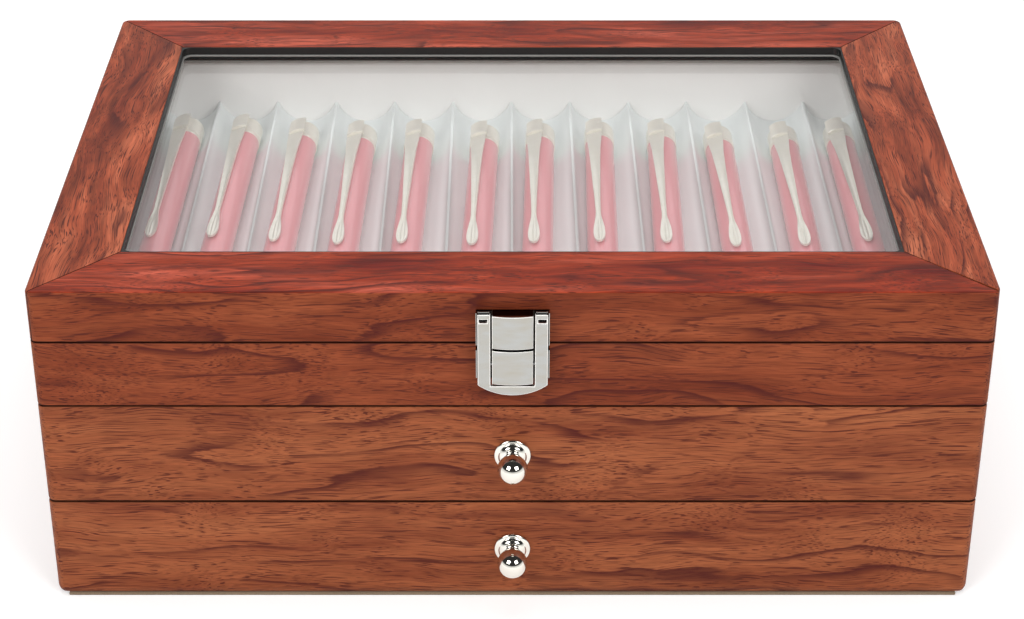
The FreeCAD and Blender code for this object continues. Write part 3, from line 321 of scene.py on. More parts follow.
def make_figure_group():
    """Figure of a sliced tropical veneer, on a vector whose X runs along the grain.

    Gives five masks from 0 to 1: broad tone, finer streaks, dark growth lines, pore dashes and
    fibre."""
    group = bpy.data.node_groups.new("veneer_figure", "ShaderNodeTree")
    group.interface.new_socket("Vector", in_out="INPUT", socket_type="NodeSocketVector")
    for name in FIGURE_MASKS:
        group.interface.new_socket(name, in_out="OUTPUT", socket_type="NodeSocketFloat")
    # The grain wanders: the layers are drawn on a bent vector.
    source = add(group, "NodeGroupInput").outputs[0]
    wander = marks(group, source, 90, 42, 2.0).outputs["Color"]
    known = work(group, {"source": source, "wander": wander}, """
        centred = minus wander middle
        push = times centred reach
        bent = plus source push
        x y z = split bent
        """, middle=(0.5, 0.5, 0.5), reach=(0.0, GRAIN_WANDER * MM, GRAIN_WANDER * MM))
    for name, layer in FIGURE_LAYERS.items():
        known[name] = marks(group, known["bent"], *layer, roughness=0.6)
    # Growth lines: thin and dark, feathered on one side; most of them fade out.
    work(group, known, """
        across = y + z
        steps = across * per_line
        field = rings * 6 + steps
        ruffled = streaks * 0.35 + field
        ring = FRACT ruffled
        line = smooth ring 0.66 0.95
        close = range ring 0.95 1 1 0
        edge = line * close
        kept = smooth fade 0.42 0.56
        feather = range fibre 0.3 0.6 0.55
        whole = edge * kept
        lines = whole * feather
        """, per_line=1 / (GROWTH_PITCH * MM))
    # Pores are cut lengthwise into thin dark dashes, crowded in some bands.
    work(group, known, """
        level = crowd * 0.3 + pore
        pores = smooth level 0.73 0.82
        """)
    add(group, "NodeGroupOutput", {name: known[name] for name in FIGURE_MASKS})
    return group


WORDS["figure"] = ("Group", (0,), 0, {"node_tree": make_figure_group()})


TURN_TO = {"X": (0.0, 0.0, 0.0), "Y": (0.0, 0.0, math.radians(-90))}  # to lay X on the grain


def on_sheet(tree, spot, grain, seed):
    """Place on a sheet of wood whose X runs along the grain; each seed is elsewhere on it."""
    return add(tree, "Mapping", {"Vector": spot, "Rotation": TURN_TO[grain],
                                 "Location": (seed, seed / 3, seed / 7)})


def graded(tree, known, ground, tones, streak):
    """Ground colour from light, middle and dark tones, streaked by this share."""
    light, middle, dark = [linear(tone) for tone in tones]
    work(tree, known, f"""
        spread = range tone 0.32 0.68
        low = range spread 0 0.5
        high = range spread 0.5 1
        first = blend low dark middle
        even = blend high first light
        share = range streaks 0.3 0.7 least most
        {ground} = scale even share
        """, light=light, middle=middle, dark=dark, least=1 - streak, most=1 + streak)


def stain(tree, known, near, far):
    """Darken what is within near of zero away, and nothing past far, in millimetres."""
    work(tree, known, """
        size = ABSOLUTE away
        mark = smooth size near far 1 0
        stain = MAXIMUM stain mark
        """, near=near * MM, far=far * MM)


def lay_sheet(tree, spot, grain, seed, upper):
    """Where each face lies on its sheet of veneer, and which faces look up."""
    facing = add(tree, "Mapping", {"Vector": spot.node.outputs["Normal"],
                                   "Rotation": TURN_TO[grain]}, vector_type="VECTOR")
    known = {"spot": spot, "laid": on_sheet(tree, spot, grain, seed), "facing": facing}
    # A face at a strip's end shows a strip of its own, whose grain runs across.
    work(tree, known, """
        x y z = split spot
        along across up = split laid
        ahead aside upwards = split facing
        ends = ABSOLUTE ahead
        is_end = ends > steep
        is_top = upwards > steep
        strip = join across along up
        sheet = choose is_end laid strip
        """, steep=END_GRAIN)
    if upper:
        # Each board and each drawer is cut from another place in the sheet.
        work(tree, known, "cut = is_top * cuts", cuts=TOP_CUTS)
        for height in FRONT_SEAMS:
            work(tree, known, """
                above = z > height
                cut = cut + above
                """, height=height * MM)
        work(tree, known, """
            shift = scale step cut
            sheet = plus sheet shift
            """, step=CUT_STEP)
    return known


def darken_joints(tree, known, seams, mitre):
    """Darken the boards at seams between parts with painted shade, and in a thin line along mitres.
    """
    known["stain"] = 0.0
    for height in seams:
        work(tree, known, "away = z - height", height=height * MM)
        stain(tree, known, *SEAM_SHADE)
    if mitre:
        work(tree, known, """
            wide = ABSOLUTE x
            deep = ABSOLUTE y
            apart = wide - deep
            away = apart - mitre
            """, mitre=mitre * MM)
        stain(tree, known, *MITRE_LINE)


@material
def lacquered_veneer(tree, spot, grain, seed, tones, top=None, upper=False, seams=(110.8,),
                     mitre=None):
    """Bubinga veneer under satin lacquer: reddish brown, thin dark pores and purple-brown
    growth lines, with a soft broad sheen.

    top gives a redder sheet, laid on faces that look up: its light, middle and dark tones.
    upper lays a darker sheet above the drawers. Painted shade darkens board edges at seams
    (heights in millimetres); a dark line runs along mitres that start this far from the diagonal."""
    known = lay_sheet(tree, spot, grain, seed, upper)
    work(tree, known, "tone streaks lines pores fibre = figure sheet")
    graded(tree, known, "ground", tones, FRONT_STREAK)
    if upper:
        work(tree, known, """
            is_upper = z > height
            darker = times ground tint
            ground = blend is_upper ground darker
            """, height=UPPER_BOARDS * MM, tint=UPPER_TINT)
    if top:
        graded(tree, known, "top_ground", top, TOP_STREAK)
        work(tree, known, "ground = blend is_top ground top_ground")
    work(tree, known, """
        drawn = lines * strength
        lined = blend drawn ground line_colour
        level = range fibre 0.3 0.7 0.79 1.19
        fibred = scale lined level
        dashes = pores * 0.9
        colour = blend dashes fibred pore_colour
        """, strength=1.0 if upper else PLAIN_LINES, line_colour=GROWTH_LINE,
         pore_colour=PORE)
    # painted shade in the seams between parts, and a dark line along the mitres
    darken_joints(tree, known, seams, mitre)
    work(tree, known, """
        stained = stain * 0.88
        colour = blend stained colour glue
        grainy = pores * -1 + fibre
        relief = bump grainy 0.25 depth
        rough = range fibre 0 1 0.36 0.48
        """, glue=SEAM_SHADE_AND_MITRE_LINE, depth=PORE_DEPTH * MM)
    return principled(tree, known, {"IOR": 1.5, "Specular IOR Level": 0.1})


@material
def plain_wood(tree, spot, grain, seed, light, dark, pore, roughness):
    """Unfigured board such as basswood plywood or stained beech: even, finely fibred, matt."""
    known = work(tree, {"laid": on_sheet(tree, spot, grain, seed)}, """
        tone streaks lines pores fibre = figure laid
        mixed = tone + fibre
        spread = range mixed 0.7 1.3
        ground = blend spread dark light
        dashes = pores * 0.3
        colour = blend dashes ground pore
        relief = bump fibre 0.3 depth
        """, light=light, dark=dark, pore=pore, depth=PORE_DEPTH * MM, rough=roughness)
    return principled(tree, known, {"IOR": 1.5})


# ---------------- other materials

@material
def flock(tree, spot, light, dark, crest=None):
    """Electrostatic viscose flock on a moulded tray: soft, dull, with a velvety edge light and
    a nap that stands a little unevenly. crest is a painted shade tone, laid along the tops of
    the tray's ridges towards the front, where they catch the most light."""
    known = work(tree, {"nap": marks(tree, spot, 0.55, 0.55, 3.0, roughness=0.7),
                        "cloud": marks(tree, spot, 35, 35, 2.0)}, """
        both = cloud * 0.6 + nap
        spread = range both 0.55 1.05
        colour = blend spread dark light
        relief = bump nap 0.35 depth
        """, light=light, dark=dark, depth=NAP_DEPTH * MM, rough=0.95)
    # painted shade: crest tops darken towards the front, where they catch the most light
    if crest:
        work(tree, known, """
            x y z = split spot
            high = smooth z low top
            used = smooth y front back 1 0
            share = high * used
            colour = blend share colour crest
            """, spot=spot, low=CREST_LOW * MM, top=CREST_HIGH * MM,
             front=CREST_FRONT * MM, back=CREST_BACK * MM, crest=crest)
    return principled(tree, known, {"Specular IOR Level": 0.15, "Sheen Weight": 0.25,
                                    "Sheen Roughness": 0.5})


@material
def plated(tree, spot, bright, dull, roughness, smear, behind=None, metallic=1.0):
    """Nickel or chrome plate over polished brass or steel: a clear mirror with faint wipe marks
    and slight unevenness in the polish. behind is a painted shade colour for plates near the
    wood, between a latch's side walls, where they lie in shade. A metallic share below 1 is a
    pearly lacquer over it."""
    known = work(tree, {"wipe": marks(tree, spot, 9, 2.5, 3.0)}, """
        rough = range wipe 0.3 0.7 clean wiped
        colour = blend wipe bright dull
        """, bright=bright, dull=dull, clean=roughness, wiped=roughness + smear)
    if behind:
        # painted shade: plates deep between the latch's side walls darken towards the wood
        work(tree, known, """
            x y z = split spot
            depth = smooth y clear reached
            aside = ABSOLUTE x
            within = aside < half
            share = depth * within
            colour = blend share colour behind
            """, spot=spot, clear=(FRONT_FACE - PAINTED_SHADE_CLEAR) * MM,
             reached=(FRONT_FACE - PAINTED_SHADE_FULL) * MM, half=(LATCH_HALF - WALL / 2) * MM,
             behind=behind)
    return principled(tree, known, {"Metallic": metallic})


@material
def moulded(tree, spot, light, dark, roughness, grit):
    """Plastic strip or film: even colour with a fine dull grain from the mould."""
    known = work(tree, {"grain": marks(tree, spot, grit, grit, 2.0)}, """
        colour = blend grain dark light
        relief = bump grain 0.2 depth
        """, light=light, dark=dark, depth=MOULD_DEPTH * MM, rough=roughness)
    return principled(tree, known, {})


@material
def lacquer(tree, spot, light, dark):
    """Sprayed pink lacquer over a brass barrel: smooth and glossy, a little uneven in depth."""
    known = work(tree, {"depth": marks(tree, spot, 4, 30, 2.0)},
                 "colour = blend depth dark light", light=light, dark=dark, rough=0.3)
    return principled(tree, known, {"IOR": 1.5, "Coat Weight": 0.5, "Coat Roughness": 0.08})


@material
def glass(tree, spot):
    """Clear float glass: it lets everything through and mirrors more as it is seen flatter."""
    facing = add(tree, "LayerWeight", {"Blend": 0.5}).outputs["Facing"]
    known = work(tree, {"dust": marks(tree, spot, 40, 40, 3.0), "facing": facing}, """
        rough = range dust 0 1 0 0.03
        flat = POWER facing 5
        share = flat * 0.6 + 0.05
        """)
    clear = add(tree, "BsdfTransparent", {"Color": linear("#FEFEFE")})
    mirror = add(tree, "BsdfGlossy", {"Color": linear("#FFFFFF"), "Roughness": known["rough"]})
    return add(tree, "MixShader", {0: known["share"], 1: clear, 2: mirror})


MATERIALS = {
    "front_veneer": lacquered_veneer("bubinga_veneer_front", "X", 0.31, FRONT_TONES,
                                     upper=True, seams=FRONT_SEAMS),
    "back_veneer": lacquered_veneer("bubinga_veneer_back", "X", 1.73, FRONT_TONES),
    "side_veneer": lacquered_veneer("bubinga_veneer_side", "Y", 2.57, FRONT_TONES),
    "lid_veneer_across": lacquered_veneer("bubinga_veneer_lid_across", "X", 3.83, FRONT_TONES,
                                          top=TOP_TONES, upper=True, mitre=MITRE),
    "lid_veneer_along": lacquered_veneer("bubinga_veneer_lid_along", "Y", 4.19, FRONT_TONES,
                                         top=RAIL_TONES, upper=True, mitre=MITRE),
    "panel_plywood": plain_wood("basswood_plywood", "X", 0.7, "#C79F74", "#A97E56", "#6E4A30",
                                0.7),
    "drawer_wood": plain_wood("stained_beech", "Y", 1.1, "#8A5238", "#6C3B28", "#3B1A12", 0.55),
    "base_felt": flock("pressed_felt", "#93806A", "#7D6A55"),
    "lining_flock": flock("viscose_flock_lining", "#F5F3F0", "#EEECE9"),
    # the third tone is painted shade along the ridge tops
    "insert_flock": flock("viscose_flock_insert", "#F6FBFA", "#F0F5F4", "#BFC0BF"),
    "black_trim": moulded("black_pvc_strip", "#151311", "#0C0A09", 0.5, 0.6),
    # painted reflection: the bead's pale grey stands in for the thin line of light where the glass
    # meets the frame
    "seal_silver": moulded("silver_pvc_bead", "#8F8E8B", "#7B7A77", 0.4, 0.8),
    "window_glass": glass("float_glass"),
    # its last colour is painted shade on the plates between the latch's side walls
    "latch_nickel": plated("satin_nickel_plate", "#B2B6B8", "#ABA496", 0.12, 0.06, "#1E1B18"),
    "hinge_nickel": plated("nickel_plated_steel", "#CFCCC4", "#BDBAB1", 0.29, 0.08),
    "knob_chrome": plated("chromium_plate", "#EBE8DF", "#E0DDD3", 0.04, 0.05),
    "screw_steel": plated("zinc_plated_steel", "#B9BABB", "#9C9D9F", 0.3, 0.15),
    "pen_lacquer": lacquer("pink_lacquer", "#EC9BA1", "#E48F95"),
    "pen_plating": plated("pearl_lacquered_plate", "#FDFAF0", "#F0EBDC", 0.3, 0.06,
                          metallic=0.45),
}
# Painted highlight: a near-white, mostly unmetallic copy of the nickel for rounded edges, so that
# they read bright whatever they mirror. It also takes the painted shade near the wood.
PAINTED_RIM_HIGHLIGHT = plated("burnished_nickel_plate", "#FFFEFA", "#FAF7F0", 0.3, 0.05, "#1E1B18",
                   metallic=0.15)

SLOT_OF = {entry["node"]: entry["material_slot"] for entry in frame["record"]["subparts"]}
BODY_OF = {node: body for body, nodes in frame["record"]["behaviour"]["bodies"].items()
           for node in nodes}


# ---------------- meshes

def new_object(name, data):
    thing = bpy.data.objects.new(name, data)
    bpy.context.scene.collection.objects.link(thing)
    return thing


def built(name, bm):
    """An object with this mesh, its faces turned outwards."""
    bmesh.ops.recalc_face_normals(bm, faces=bm.faces)
    mesh = bpy.data.meshes.new(name)
    bm.to_mesh(mesh)
    bm.free()
    return new_object(name, mesh)


def settle(thing):
    """Turn an object's modifiers into its plain mesh."""
    bpy.context.view_layer.update()
    whole = thing.evaluated_get(bpy.context.evaluated_depsgraph_get())
    mesh = bpy.data.meshes.new_from_object(whole)
    mesh.name = thing.name
    thing.modifiers.clear()
    thing.data = mesh


def finish_piece(thing, nodes, sharp=SHARP, edge=None):
    """Shade a finished mesh, and show it in place of CAD nodes that ride on one body."""
    slot = SLOT_OF[nodes[0]]
    mesh = thing.data
    is_edge = [face.material_index > 0 for face in mesh.polygons]
    mesh.materials.clear()
    mesh.materials.append(MATERIALS[slot])
    if edge:
        mesh.materials.append(edge)
    for face, rounded in zip(mesh.polygons, is_edge):
        face.material_index = int(rounded and edge is not None)
        face.use_smooth = True
    mesh.set_sharp_from_angle(angle=math.radians(sharp))
    even = thing.modifiers.new("even_shading", "WEIGHTED_NORMAL")
    even.keep_sharp = True
    settle(thing)
    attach(thing, BODY_OF[nodes[0]])
    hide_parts(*nodes)


def piece(name, bm, *nodes, sharp=SHARP, edge=None):
    finish_piece(built(name, bm), nodes, sharp, edge)


def merged(node):
    """A CAD node's shape as one clean body of flat faces."""
    bm = bmesh.new()
    bm.from_mesh(frame["nodes"][node].data)
    bmesh.ops.remove_doubles(bm, verts=bm.verts, dist=0.001 * MM)
    bmesh.ops.dissolve_limit(bm, angle_limit=math.radians(0.3), verts=bm.verts, edges=bm.edges)
    return bm


def ease(bm, width, steps=2, corner=32.0, material=-1):
    """Round every edge that is sharper than corner."""
    edges = [edge for edge in bm.edges
             if edge.is_manifold and edge.calc_face_angle() > math.radians(corner)]
    bmesh.ops.bevel(bm, geom=edges, offset=width * MM, segments=steps, affect="EDGES",
                    profile=0.5, clamp_overlap=True, material=material)


def loft(bm, rings):
    """Skin over rings of as many points, closed at both ends. Points are in millimetres."""
    rows = [[bm.verts.new(Vector(point) * MM) for point in ring] for ring in rings]
    for one, two in zip(rows, rows[1:]):
        for number in range(len(one)):
            after = (number + 1) % len(one)
            bm.faces.new((one[number], one[after], two[after], two[number]))
    bm.faces.new(rows[0])
    bm.faces.new(rows[-1])


def turned(bm, profile, place, steps=LATHE_STEPS):
    """Turned solid. profile gives distance along the axis and radius; place maps the distance
    and a direction across the axis (two shares of the radius) to a point."""
    angles = [2 * math.pi * number / steps for number in range(steps)]
    loft(bm, [[place(far, radius * math.cos(angle), radius * math.sin(angle))
               for angle in angles] for far, radius in profile])


def forwards(far, across, up):
    """Place for a turned piece whose axis points to the front."""
    return (across, -far, up)


def spread(start, end, steps):
    """Evenly spaced values from start to end."""
    return [start + (end - start) * number / steps for number in range(steps + 1)]


def arc(middle, radius, start, end, steps):
    """Points of an arc about a place on an axis, as distance along the axis and radius; angles
    from the axis, degrees."""
    return [(middle + radius * math.cos(math.radians(angle)), radius * math.sin(math.radians(angle)))
            for angle in spread(start, end, steps)]


def block(bm, low, high):
    """Box between two corners."""
    x0, y0, z0 = low
    x1, y1, z1 = high
    loft(bm, [[(x, y0, z0), (x, y1, z0), (x, y1, z1), (x, y0, z1)] for x in (x0, x1)])


# ---------------- boards and trims

EASED = {node: width for nodes, width in (  # width of each piece's rounded edges
    ("case_front_rail case_back case_side_left case_side_right lid_rail_front lid_rail_back "
     "lid_rail_left lid_rail_right upper_drawer_front lower_drawer_front", BOARD_EDGE),
    ("tray_lining_front tray_lining_back tray_lining_left tray_lining_right", LINING_EDGE),
    ("upper_drawer_side_left upper_drawer_side_right upper_drawer_back lower_drawer_side_left "
     "lower_drawer_side_right lower_drawer_back", DRAWER_EDGE),
    ("hinge_case_leaf_left hinge_case_leaf_right hinge_lid_leaf_left hinge_lid_leaf_right",
     LEAF_EDGE),
    ("window_liner glass_retainer", TRIM_EDGE),
    ("glazing_seal", BEAD_EDGE),
    ("base_board", FELT_EDGE),
) for node in nodes.split()}


def open_mitre(bm):
    """The lid's front right mitre has opened at its top outer corner."""
    middle = mean([point.co for point in bm.verts]).z
    for point in bm.verts:
        outer = point.co.x > MITRE_OUTER * MM and point.co.y < -(MITRE_OUTER - MITRE) * MM
        if outer and point.co.z > middle:
            point.co.y += MITRE_OPENING * MM


def bring_down(bm):
    """The lowest front reaches almost to the felt."""
    lowest = min(point.co.z for point in bm.verts)
    for point in bm.verts:
        height = (point.co.z - lowest) / MM
        if height < FOOT_HEIGHT:
            crisp = FOOT_CRISP * min(height, FOOT_ROUND)
            share = max(0.0, height - FOOT_ROUND) / (FOOT_HEIGHT - FOOT_ROUND)
            top = FOOT_HEIGHT + FOOT_DROP
            kept = crisp + (top - FOOT_CRISP * FOOT_ROUND) * share
            point.co.z = lowest + (kept - FOOT_DROP) * MM


def make_eased_pieces():
    for node, width in EASED.items():
        bm = merged(node)
        if node == "lid_rail_right":
            open_mitre(bm)
        if node == "lower_drawer_front":
            bring_down(bm)
        ease(bm, width)
        piece(node + "_finished", bm, node)


# ---------------- geometry nodes

def new_tree(name, sizes, *others):
    """A geometry node tree, and its inputs: geometry, sizes by name, others whose name is also
    their kind, and a material."""
    tree = bpy.data.node_groups.new(name, "GeometryNodeTree")
    tree.interface.new_socket("Geometry", in_out="OUTPUT", socket_type="NodeSocketGeometry")
    kinds = [("Geometry", "Geometry")] + [(size, "Float") for size in sizes.split()]
    kinds += [(kind, kind) for kind in (*others, "Material")]
    for label, kind in kinds:
        tree.interface.new_socket(label, in_out="INPUT", socket_type="NodeSocket" + kind)
    return tree, add(tree, "NodeGroupInput").outputs


def give(tree, geometry, surface):
    """End a tree with real geometry of this material."""
    real = add(tree, "GeometryNodeRealizeInstances", {0: geometry})
    finished = add(tree, "GeometryNodeSetMaterial", {"Geometry": real, "Material": surface})
    add(tree, "NodeGroupOutput", {"Geometry": finished})


def grown(name, mesh, tree, values):
    """An object whose mesh is what a tree makes with these values."""
    thing = new_object(name, mesh)
    thing.modifiers.new("rule", "NODES").node_group = tree
    sockets = {item.name: item.identifier for item in tree.interface.items_tree
               if item.in_out == "INPUT"}
    for size, value in values.items():
        thing.modifiers["rule"][sockets[size]] = value
    settle(thing)
    return thing


def make_groove_tree():
    """Moulded insert: a slab whose top is a row of round grooves with soft crests between.

    A groove's radius follows from its width between crests and its depth."""
    tree, given = new_tree("grooved_insert", "Width Depth Height Count Margin Floor Crest Softness")
    known = work(tree, dict(given.items()), "box = join Width Depth Height")
    slab = add(tree, "GeometryNodeMeshCube", {"Size": known["box"], "Vertices X": GROOVE_COLUMNS,
                                              "Vertices Y": 2, "Vertices Z": 2})
    # Which groove a point is in, and how far it is from that groove's middle.
    work(tree, known, """
        x y z = split spot
        grooved = Margin * -2 + Width
        pitch = grooved / Count
        half_count = Count * 0.5
        first = half_count * -1
        last = half_count - 1
        turns = x / pitch
        whole = FLOOR turns
        index = clamp whole first last
        centre = index + 0.5
        middle = centre * pitch
        aside = x - middle
        """, spot=add(tree, "GeometryNodeInputPosition"))
    # The groove's radius, and its surface at that distance.
    work(tree, known, """
        open = pitch - Crest
        half = open * 0.5
        deep = Height - Floor
        deep_square = deep * deep
        squares = half * half + deep_square
        twice = deep + deep
        radius = squares / twice
        radius_square = radius * radius
        aside_square = aside * aside
        under = radius_square - aside_square
        above_zero = MAXIMUM under 0
        drop = SQRT above_zero
        axis = Floor + radius
        groove = axis - drop
        surface = SMOOTH_MIN groove Height Softness
        change = surface - Height
        is_top = z > 0
        lowered = change * is_top
        shift = join 0 0 lowered
        """)
    shaped = add(tree, "GeometryNodeSetPosition", {"Geometry": slab.outputs["Mesh"],
                                                   "Offset": known["shift"]})
    give(tree, shaped, known["Material"])
    return tree


def make_copies_tree():
    """One shape set at each point, turned by the points' own angles."""
    tree, given = new_tree("set_out", "", "Object")
    shape = add(tree, "GeometryNodeObjectInfo", {"Object": given["Object"]})
    turn = add(tree, "GeometryNodeInputNamedAttribute", {"Name": "turn"},
               data_type="FLOAT_VECTOR")
    copies = add(tree, "GeometryNodeInstanceOnPoints", {
        "Points": given["Geometry"], "Instance": shape.outputs["Geometry"], "Rotation": turn})
    give(tree, copies, given["Material"])
    return tree


COPIES_TREE = make_copies_tree()


def set_out(name, shape, spots, node):
    """Copies of a shape at each spot (point in millimetres, angles), as one piece."""
    pattern = built(name + "_pattern", shape)
    mesh = bpy.data.meshes.new(name + "_points")
    mesh.from_pydata([Vector(point) * MM for point, turn in spots], [], [])
    angles = mesh.attributes.new("turn", "FLOAT_VECTOR", "POINT")
    for number, (point, turn) in enumerate(spots):
        angles.data[number].vector = turn
    thing = grown(name, mesh, COPIES_TREE, {"Object": pattern,
                                            "Material": MATERIALS[SLOT_OF[node]]})
    bpy.data.objects.remove(pattern)
    finish_piece(thing, (node,))


# ---------------- inserts

def make_inserts():
    tree = make_groove_tree()
    for node in ("tray_insert", "upper_drawer_insert", "lower_drawer_insert"):
        low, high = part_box(node)
        size = high - low
        thing = grown(node + "_flocked", bpy.data.meshes.new(node), tree, {
            "Width": size.x, "Depth": size.y, "Height": size.z, "Count": 12.0,
            "Margin": GROOVE_MARGIN * MM, "Floor": GROOVE_FLOOR * MM,
            "Crest": GROOVE_CREST * MM, "Softness": CREST_SOFTNESS * MM,
            "Material": MATERIALS[SLOT_OF[node]]})
        thing.data.transform(Matrix.Translation((low + high) / 2))
        finish_piece(thing, (node,), sharp=60.0)


# ---------------- pens

def bodies(node):
    """The separate bodies of a CAD node, as lists of points in the mesh's own order."""
    bm = merged(node)
    bm.verts.index_update()
    left = set(bm.verts)
    found = []
    while left:
        waiting = [left.pop()]
        body = []
        while waiting:
            point = waiting.pop()
            body.append(point)
            near = {edge.other_vert(point) for edge in point.link_edges} & left
            left -= near
            waiting.extend(near)
        body.sort(key=lambda point: point.index)
        found.append([point.co.copy() for point in body])
    bm.free()
    return found


def mean(points):
    return sum(points, Vector()) / len(points)


def pen_spots():
    """Each pen's far end (millimetres) and its turn, from its packed barrel, left to right."""
    spots = []
    for points in bodies("pen_barrels"):
        back = max(point.y for point in points)
        front = min(point.y for point in points)
        far = mean([point for point in points if point.y > back - END_BAND * MM])
        near = mean([point for point in points if point.y < front + END_BAND * MM])
        heading = (far - near).normalized()
        end = (far + heading * PEN_CAP * MM) / MM
        spots.append((tuple(end), (0.0, 0.0, math.atan2(-heading.x, heading.y))))
    return sorted(spots)


BARREL_END = PEN_LENGTH - PEN_TIP
PEN_PROFILES = {  # distance from the pen's far end, and radius
    # A plated tube with a soft far edge, a turned groove and a lip at its mouth.
    "pen_caps": ((0.0, 4.6), (0.1, 5.5), (0.35, 6.05), (0.9, CAP_RADIUS), (12.2, CAP_RADIUS),
                 (12.4, 5.7), (12.9, 5.7), (13.1, CAP_RADIUS), (13.6, CAP_RADIUS),
                 (PEN_CAP, 6.1)),
    # A lacquered tube with a fine groove.
    "pen_barrels": ((PEN_CAP - 0.4, 5.8), (PEN_CAP - 0.4, BARREL_RADIUS),
                    (BARREL_END - 46.2, BARREL_RADIUS), (BARREL_END - 46.0, 5.88),
                    (BARREL_END - 45.7, 5.88), (BARREL_END - 45.5, BARREL_RADIUS),
                    (BARREL_END - 0.2, BARREL_RADIUS), (BARREL_END, 5.8)),
    # A plated cone with a collar against the barrel and a rounded end.
    "pen_tips": ((BARREL_END, 5.7), (BARREL_END + 0.15, BARREL_RADIUS),
                 (BARREL_END + 1.6, BARREL_RADIUS), (BARREL_END + 1.8, 5.65),
                 (BARREL_END + 2.1, 5.65), (BARREL_END + 2.3, 5.75), (PEN_LENGTH - 1.6, 1.9),
                 (PEN_LENGTH - 0.7, 1.4), (PEN_LENGTH - 0.2, 1.05), (PEN_LENGTH, 0.5)),
}
CLIP_WIDTHS = (  # distance from the pen's far end, and half of the clip's width
    (CLIP_ROOT - 0.5, 3.4), (18.0, 3.25), (28.0, 2.5), (42.0, 2.0), (58.0, 1.6), (74.0, 1.15),
    (86.0, 0.95), (90.0, 1.15), (95.0, 1.75), (99.0, 2.15), (102.0, 2.3), (104.5, 2.25),
    (106.5, 1.98), (107.9, 1.55), (108.8, 1.08), (109.2, 0.7), (109.4, 0.3),
)


def value_at(stations, at):
    """Value at a distance, on straight lines through the stations' (distance, value) pairs."""
    for (start, one), (end, two) in zip(stations, stations[1:]):
        if at <= end:
            share = (at - start) / (end - start)
            return one + (two - one) * share
    return stations[-1][1]


def clip_ring(forward, half_width, under, over, bend, dish, flutes=0.0):
    """One section of a clip: bend is the radius that it curves with."""
    lean = math.radians(CLIP_LEAN - CLIP_STRAIGHTEN * forward / PEN_LENGTH)
    upper, lower = [], []
    for share in spread(-1, 1, CLIP_COLUMNS):
        angle = share * half_width / bend
        rim = dish * (share * share - CLIP_LEVEL)
        ridge = flutes * math.cos(share * 3 * math.pi) * (1 - share * share)
        for height, row in ((over + rim + ridge, upper), (under, lower)):
            reach = bend + height - over
            aside = reach * math.sin(angle)
            rise = reach * math.cos(angle) + over - bend
            row.append((aside * math.cos(lean) - rise * math.sin(lean), -forward,
                        rise * math.cos(lean) + aside * math.sin(lean)))
    return upper + lower[::-1]


def make_clip_shape():
    """Sprung clip: a saddle on the end cap, a dished strip that narrows to a neck, and a
    fluted drop at its end. It leans to the pen's left."""
    bm = bmesh.new()
    saddle = []
    for forward, sink in ((0.0, 0.35), (0.3, 0.0), (CLIP_ROOT - 0.3, 0.0), (CLIP_ROOT, 0.3)):
        top = CLIP_TOP - sink
        saddle.append(clip_ring(forward, SADDLE_HALF - sink / 2, CAP_RADIUS - 0.2, top, top, 0.0))
    loft(bm, saddle)
    start, end = CLIP_WIDTHS[0][0], CLIP_WIDTHS[-1][0]
    strip = []
    for part in spread(0, 1, CLIP_ROWS):
        share = 1 - (1 - part) ** CLIP_CROWDING
        forward = start + (end - start) * share
        drop = max(0.0, min(1.0, (forward - CLIP_DROP_AT) / CLIP_DROP))
        bend = CLIP_TOP + max(0.0, forward - CLIP_FLAT_AT) * CLIP_FLATTEN
        dip = CLIP_DIP * max(0.0, 1 - (forward - start) / CLIP_DIP_LENGTH)
        over = CLIP_TOP - CLIP_SUNK + CLIP_SWELL * drop - dip
        strip.append(clip_ring(forward, value_at(CLIP_WIDTHS, forward), over - CLIP_SHEET, over,
                               bend, CLIP_DISH * (1 - CLIP_FILL * drop), CLIP_FLUTE * drop))
    loft(bm, strip)
    return bm


def make_pens():
    spots = pen_spots()
    for node, profile in PEN_PROFILES.items():
        bm = bmesh.new()
        turned(bm, profile, forwards)
        set_out(node + "_finished", bm, spots, node)
    set_out("pen_clips_finished", make_clip_shape(), spots, "pen_clips")


# ---------------- knobs

KNOB_PROFILE = (
    [(0.0, 6.2), (0.2, 6.55), (0.55, 6.7), (0.95, 6.6), (1.25, 6.2), (1.4, 5.5)]  # flange
    + [(1.45, 5.3), (1.6, 5.1), (2.05, 4.9), (2.55, 4.4), (2.9, 3.8), (3.0, 3.45)]  # dome
    + [(3.15, 3.1), (3.4, 2.8), (3.9, 2.65), (4.4, 2.6)]  # neck
)


def make_knobs():
    ball = arc(KNOB_REACH - KNOB_BALL, KNOB_BALL, 151.0, 1.0, 26)
    for node in ("upper_drawer_knob", "lower_drawer_knob"):
        bm = bmesh.new()
        turned(bm, KNOB_PROFILE + ball, forwards)
        low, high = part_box(node)
        middle = (low + high) / 2
        bmesh.ops.translate(bm, verts=bm.verts, vec=(middle.x, high.y, middle.z))
        piece(node + "_turned", bm, node, sharp=50.0)


# ---------------- latch

def off_front(proud):
    """Y in millimetres of a point that stands this far off the front face."""
    return FRONT_FACE - proud


def crowned_panel(bm, bottom, top):
    """Raised middle panel, prouder in its middle than at its sides."""
    rings = []
    for share in spread(-1, 1, PANEL_COLUMNS):
        x = PANEL_HALF * share
        y = off_front(LATCH_PROUD - PANEL_CROWN * share * share)
        back = off_front(PANEL_BITE)
        rings.append([(x, back, bottom), (x, y, bottom), (x, y, top), (x, back, top)])
    loft(bm, rings)


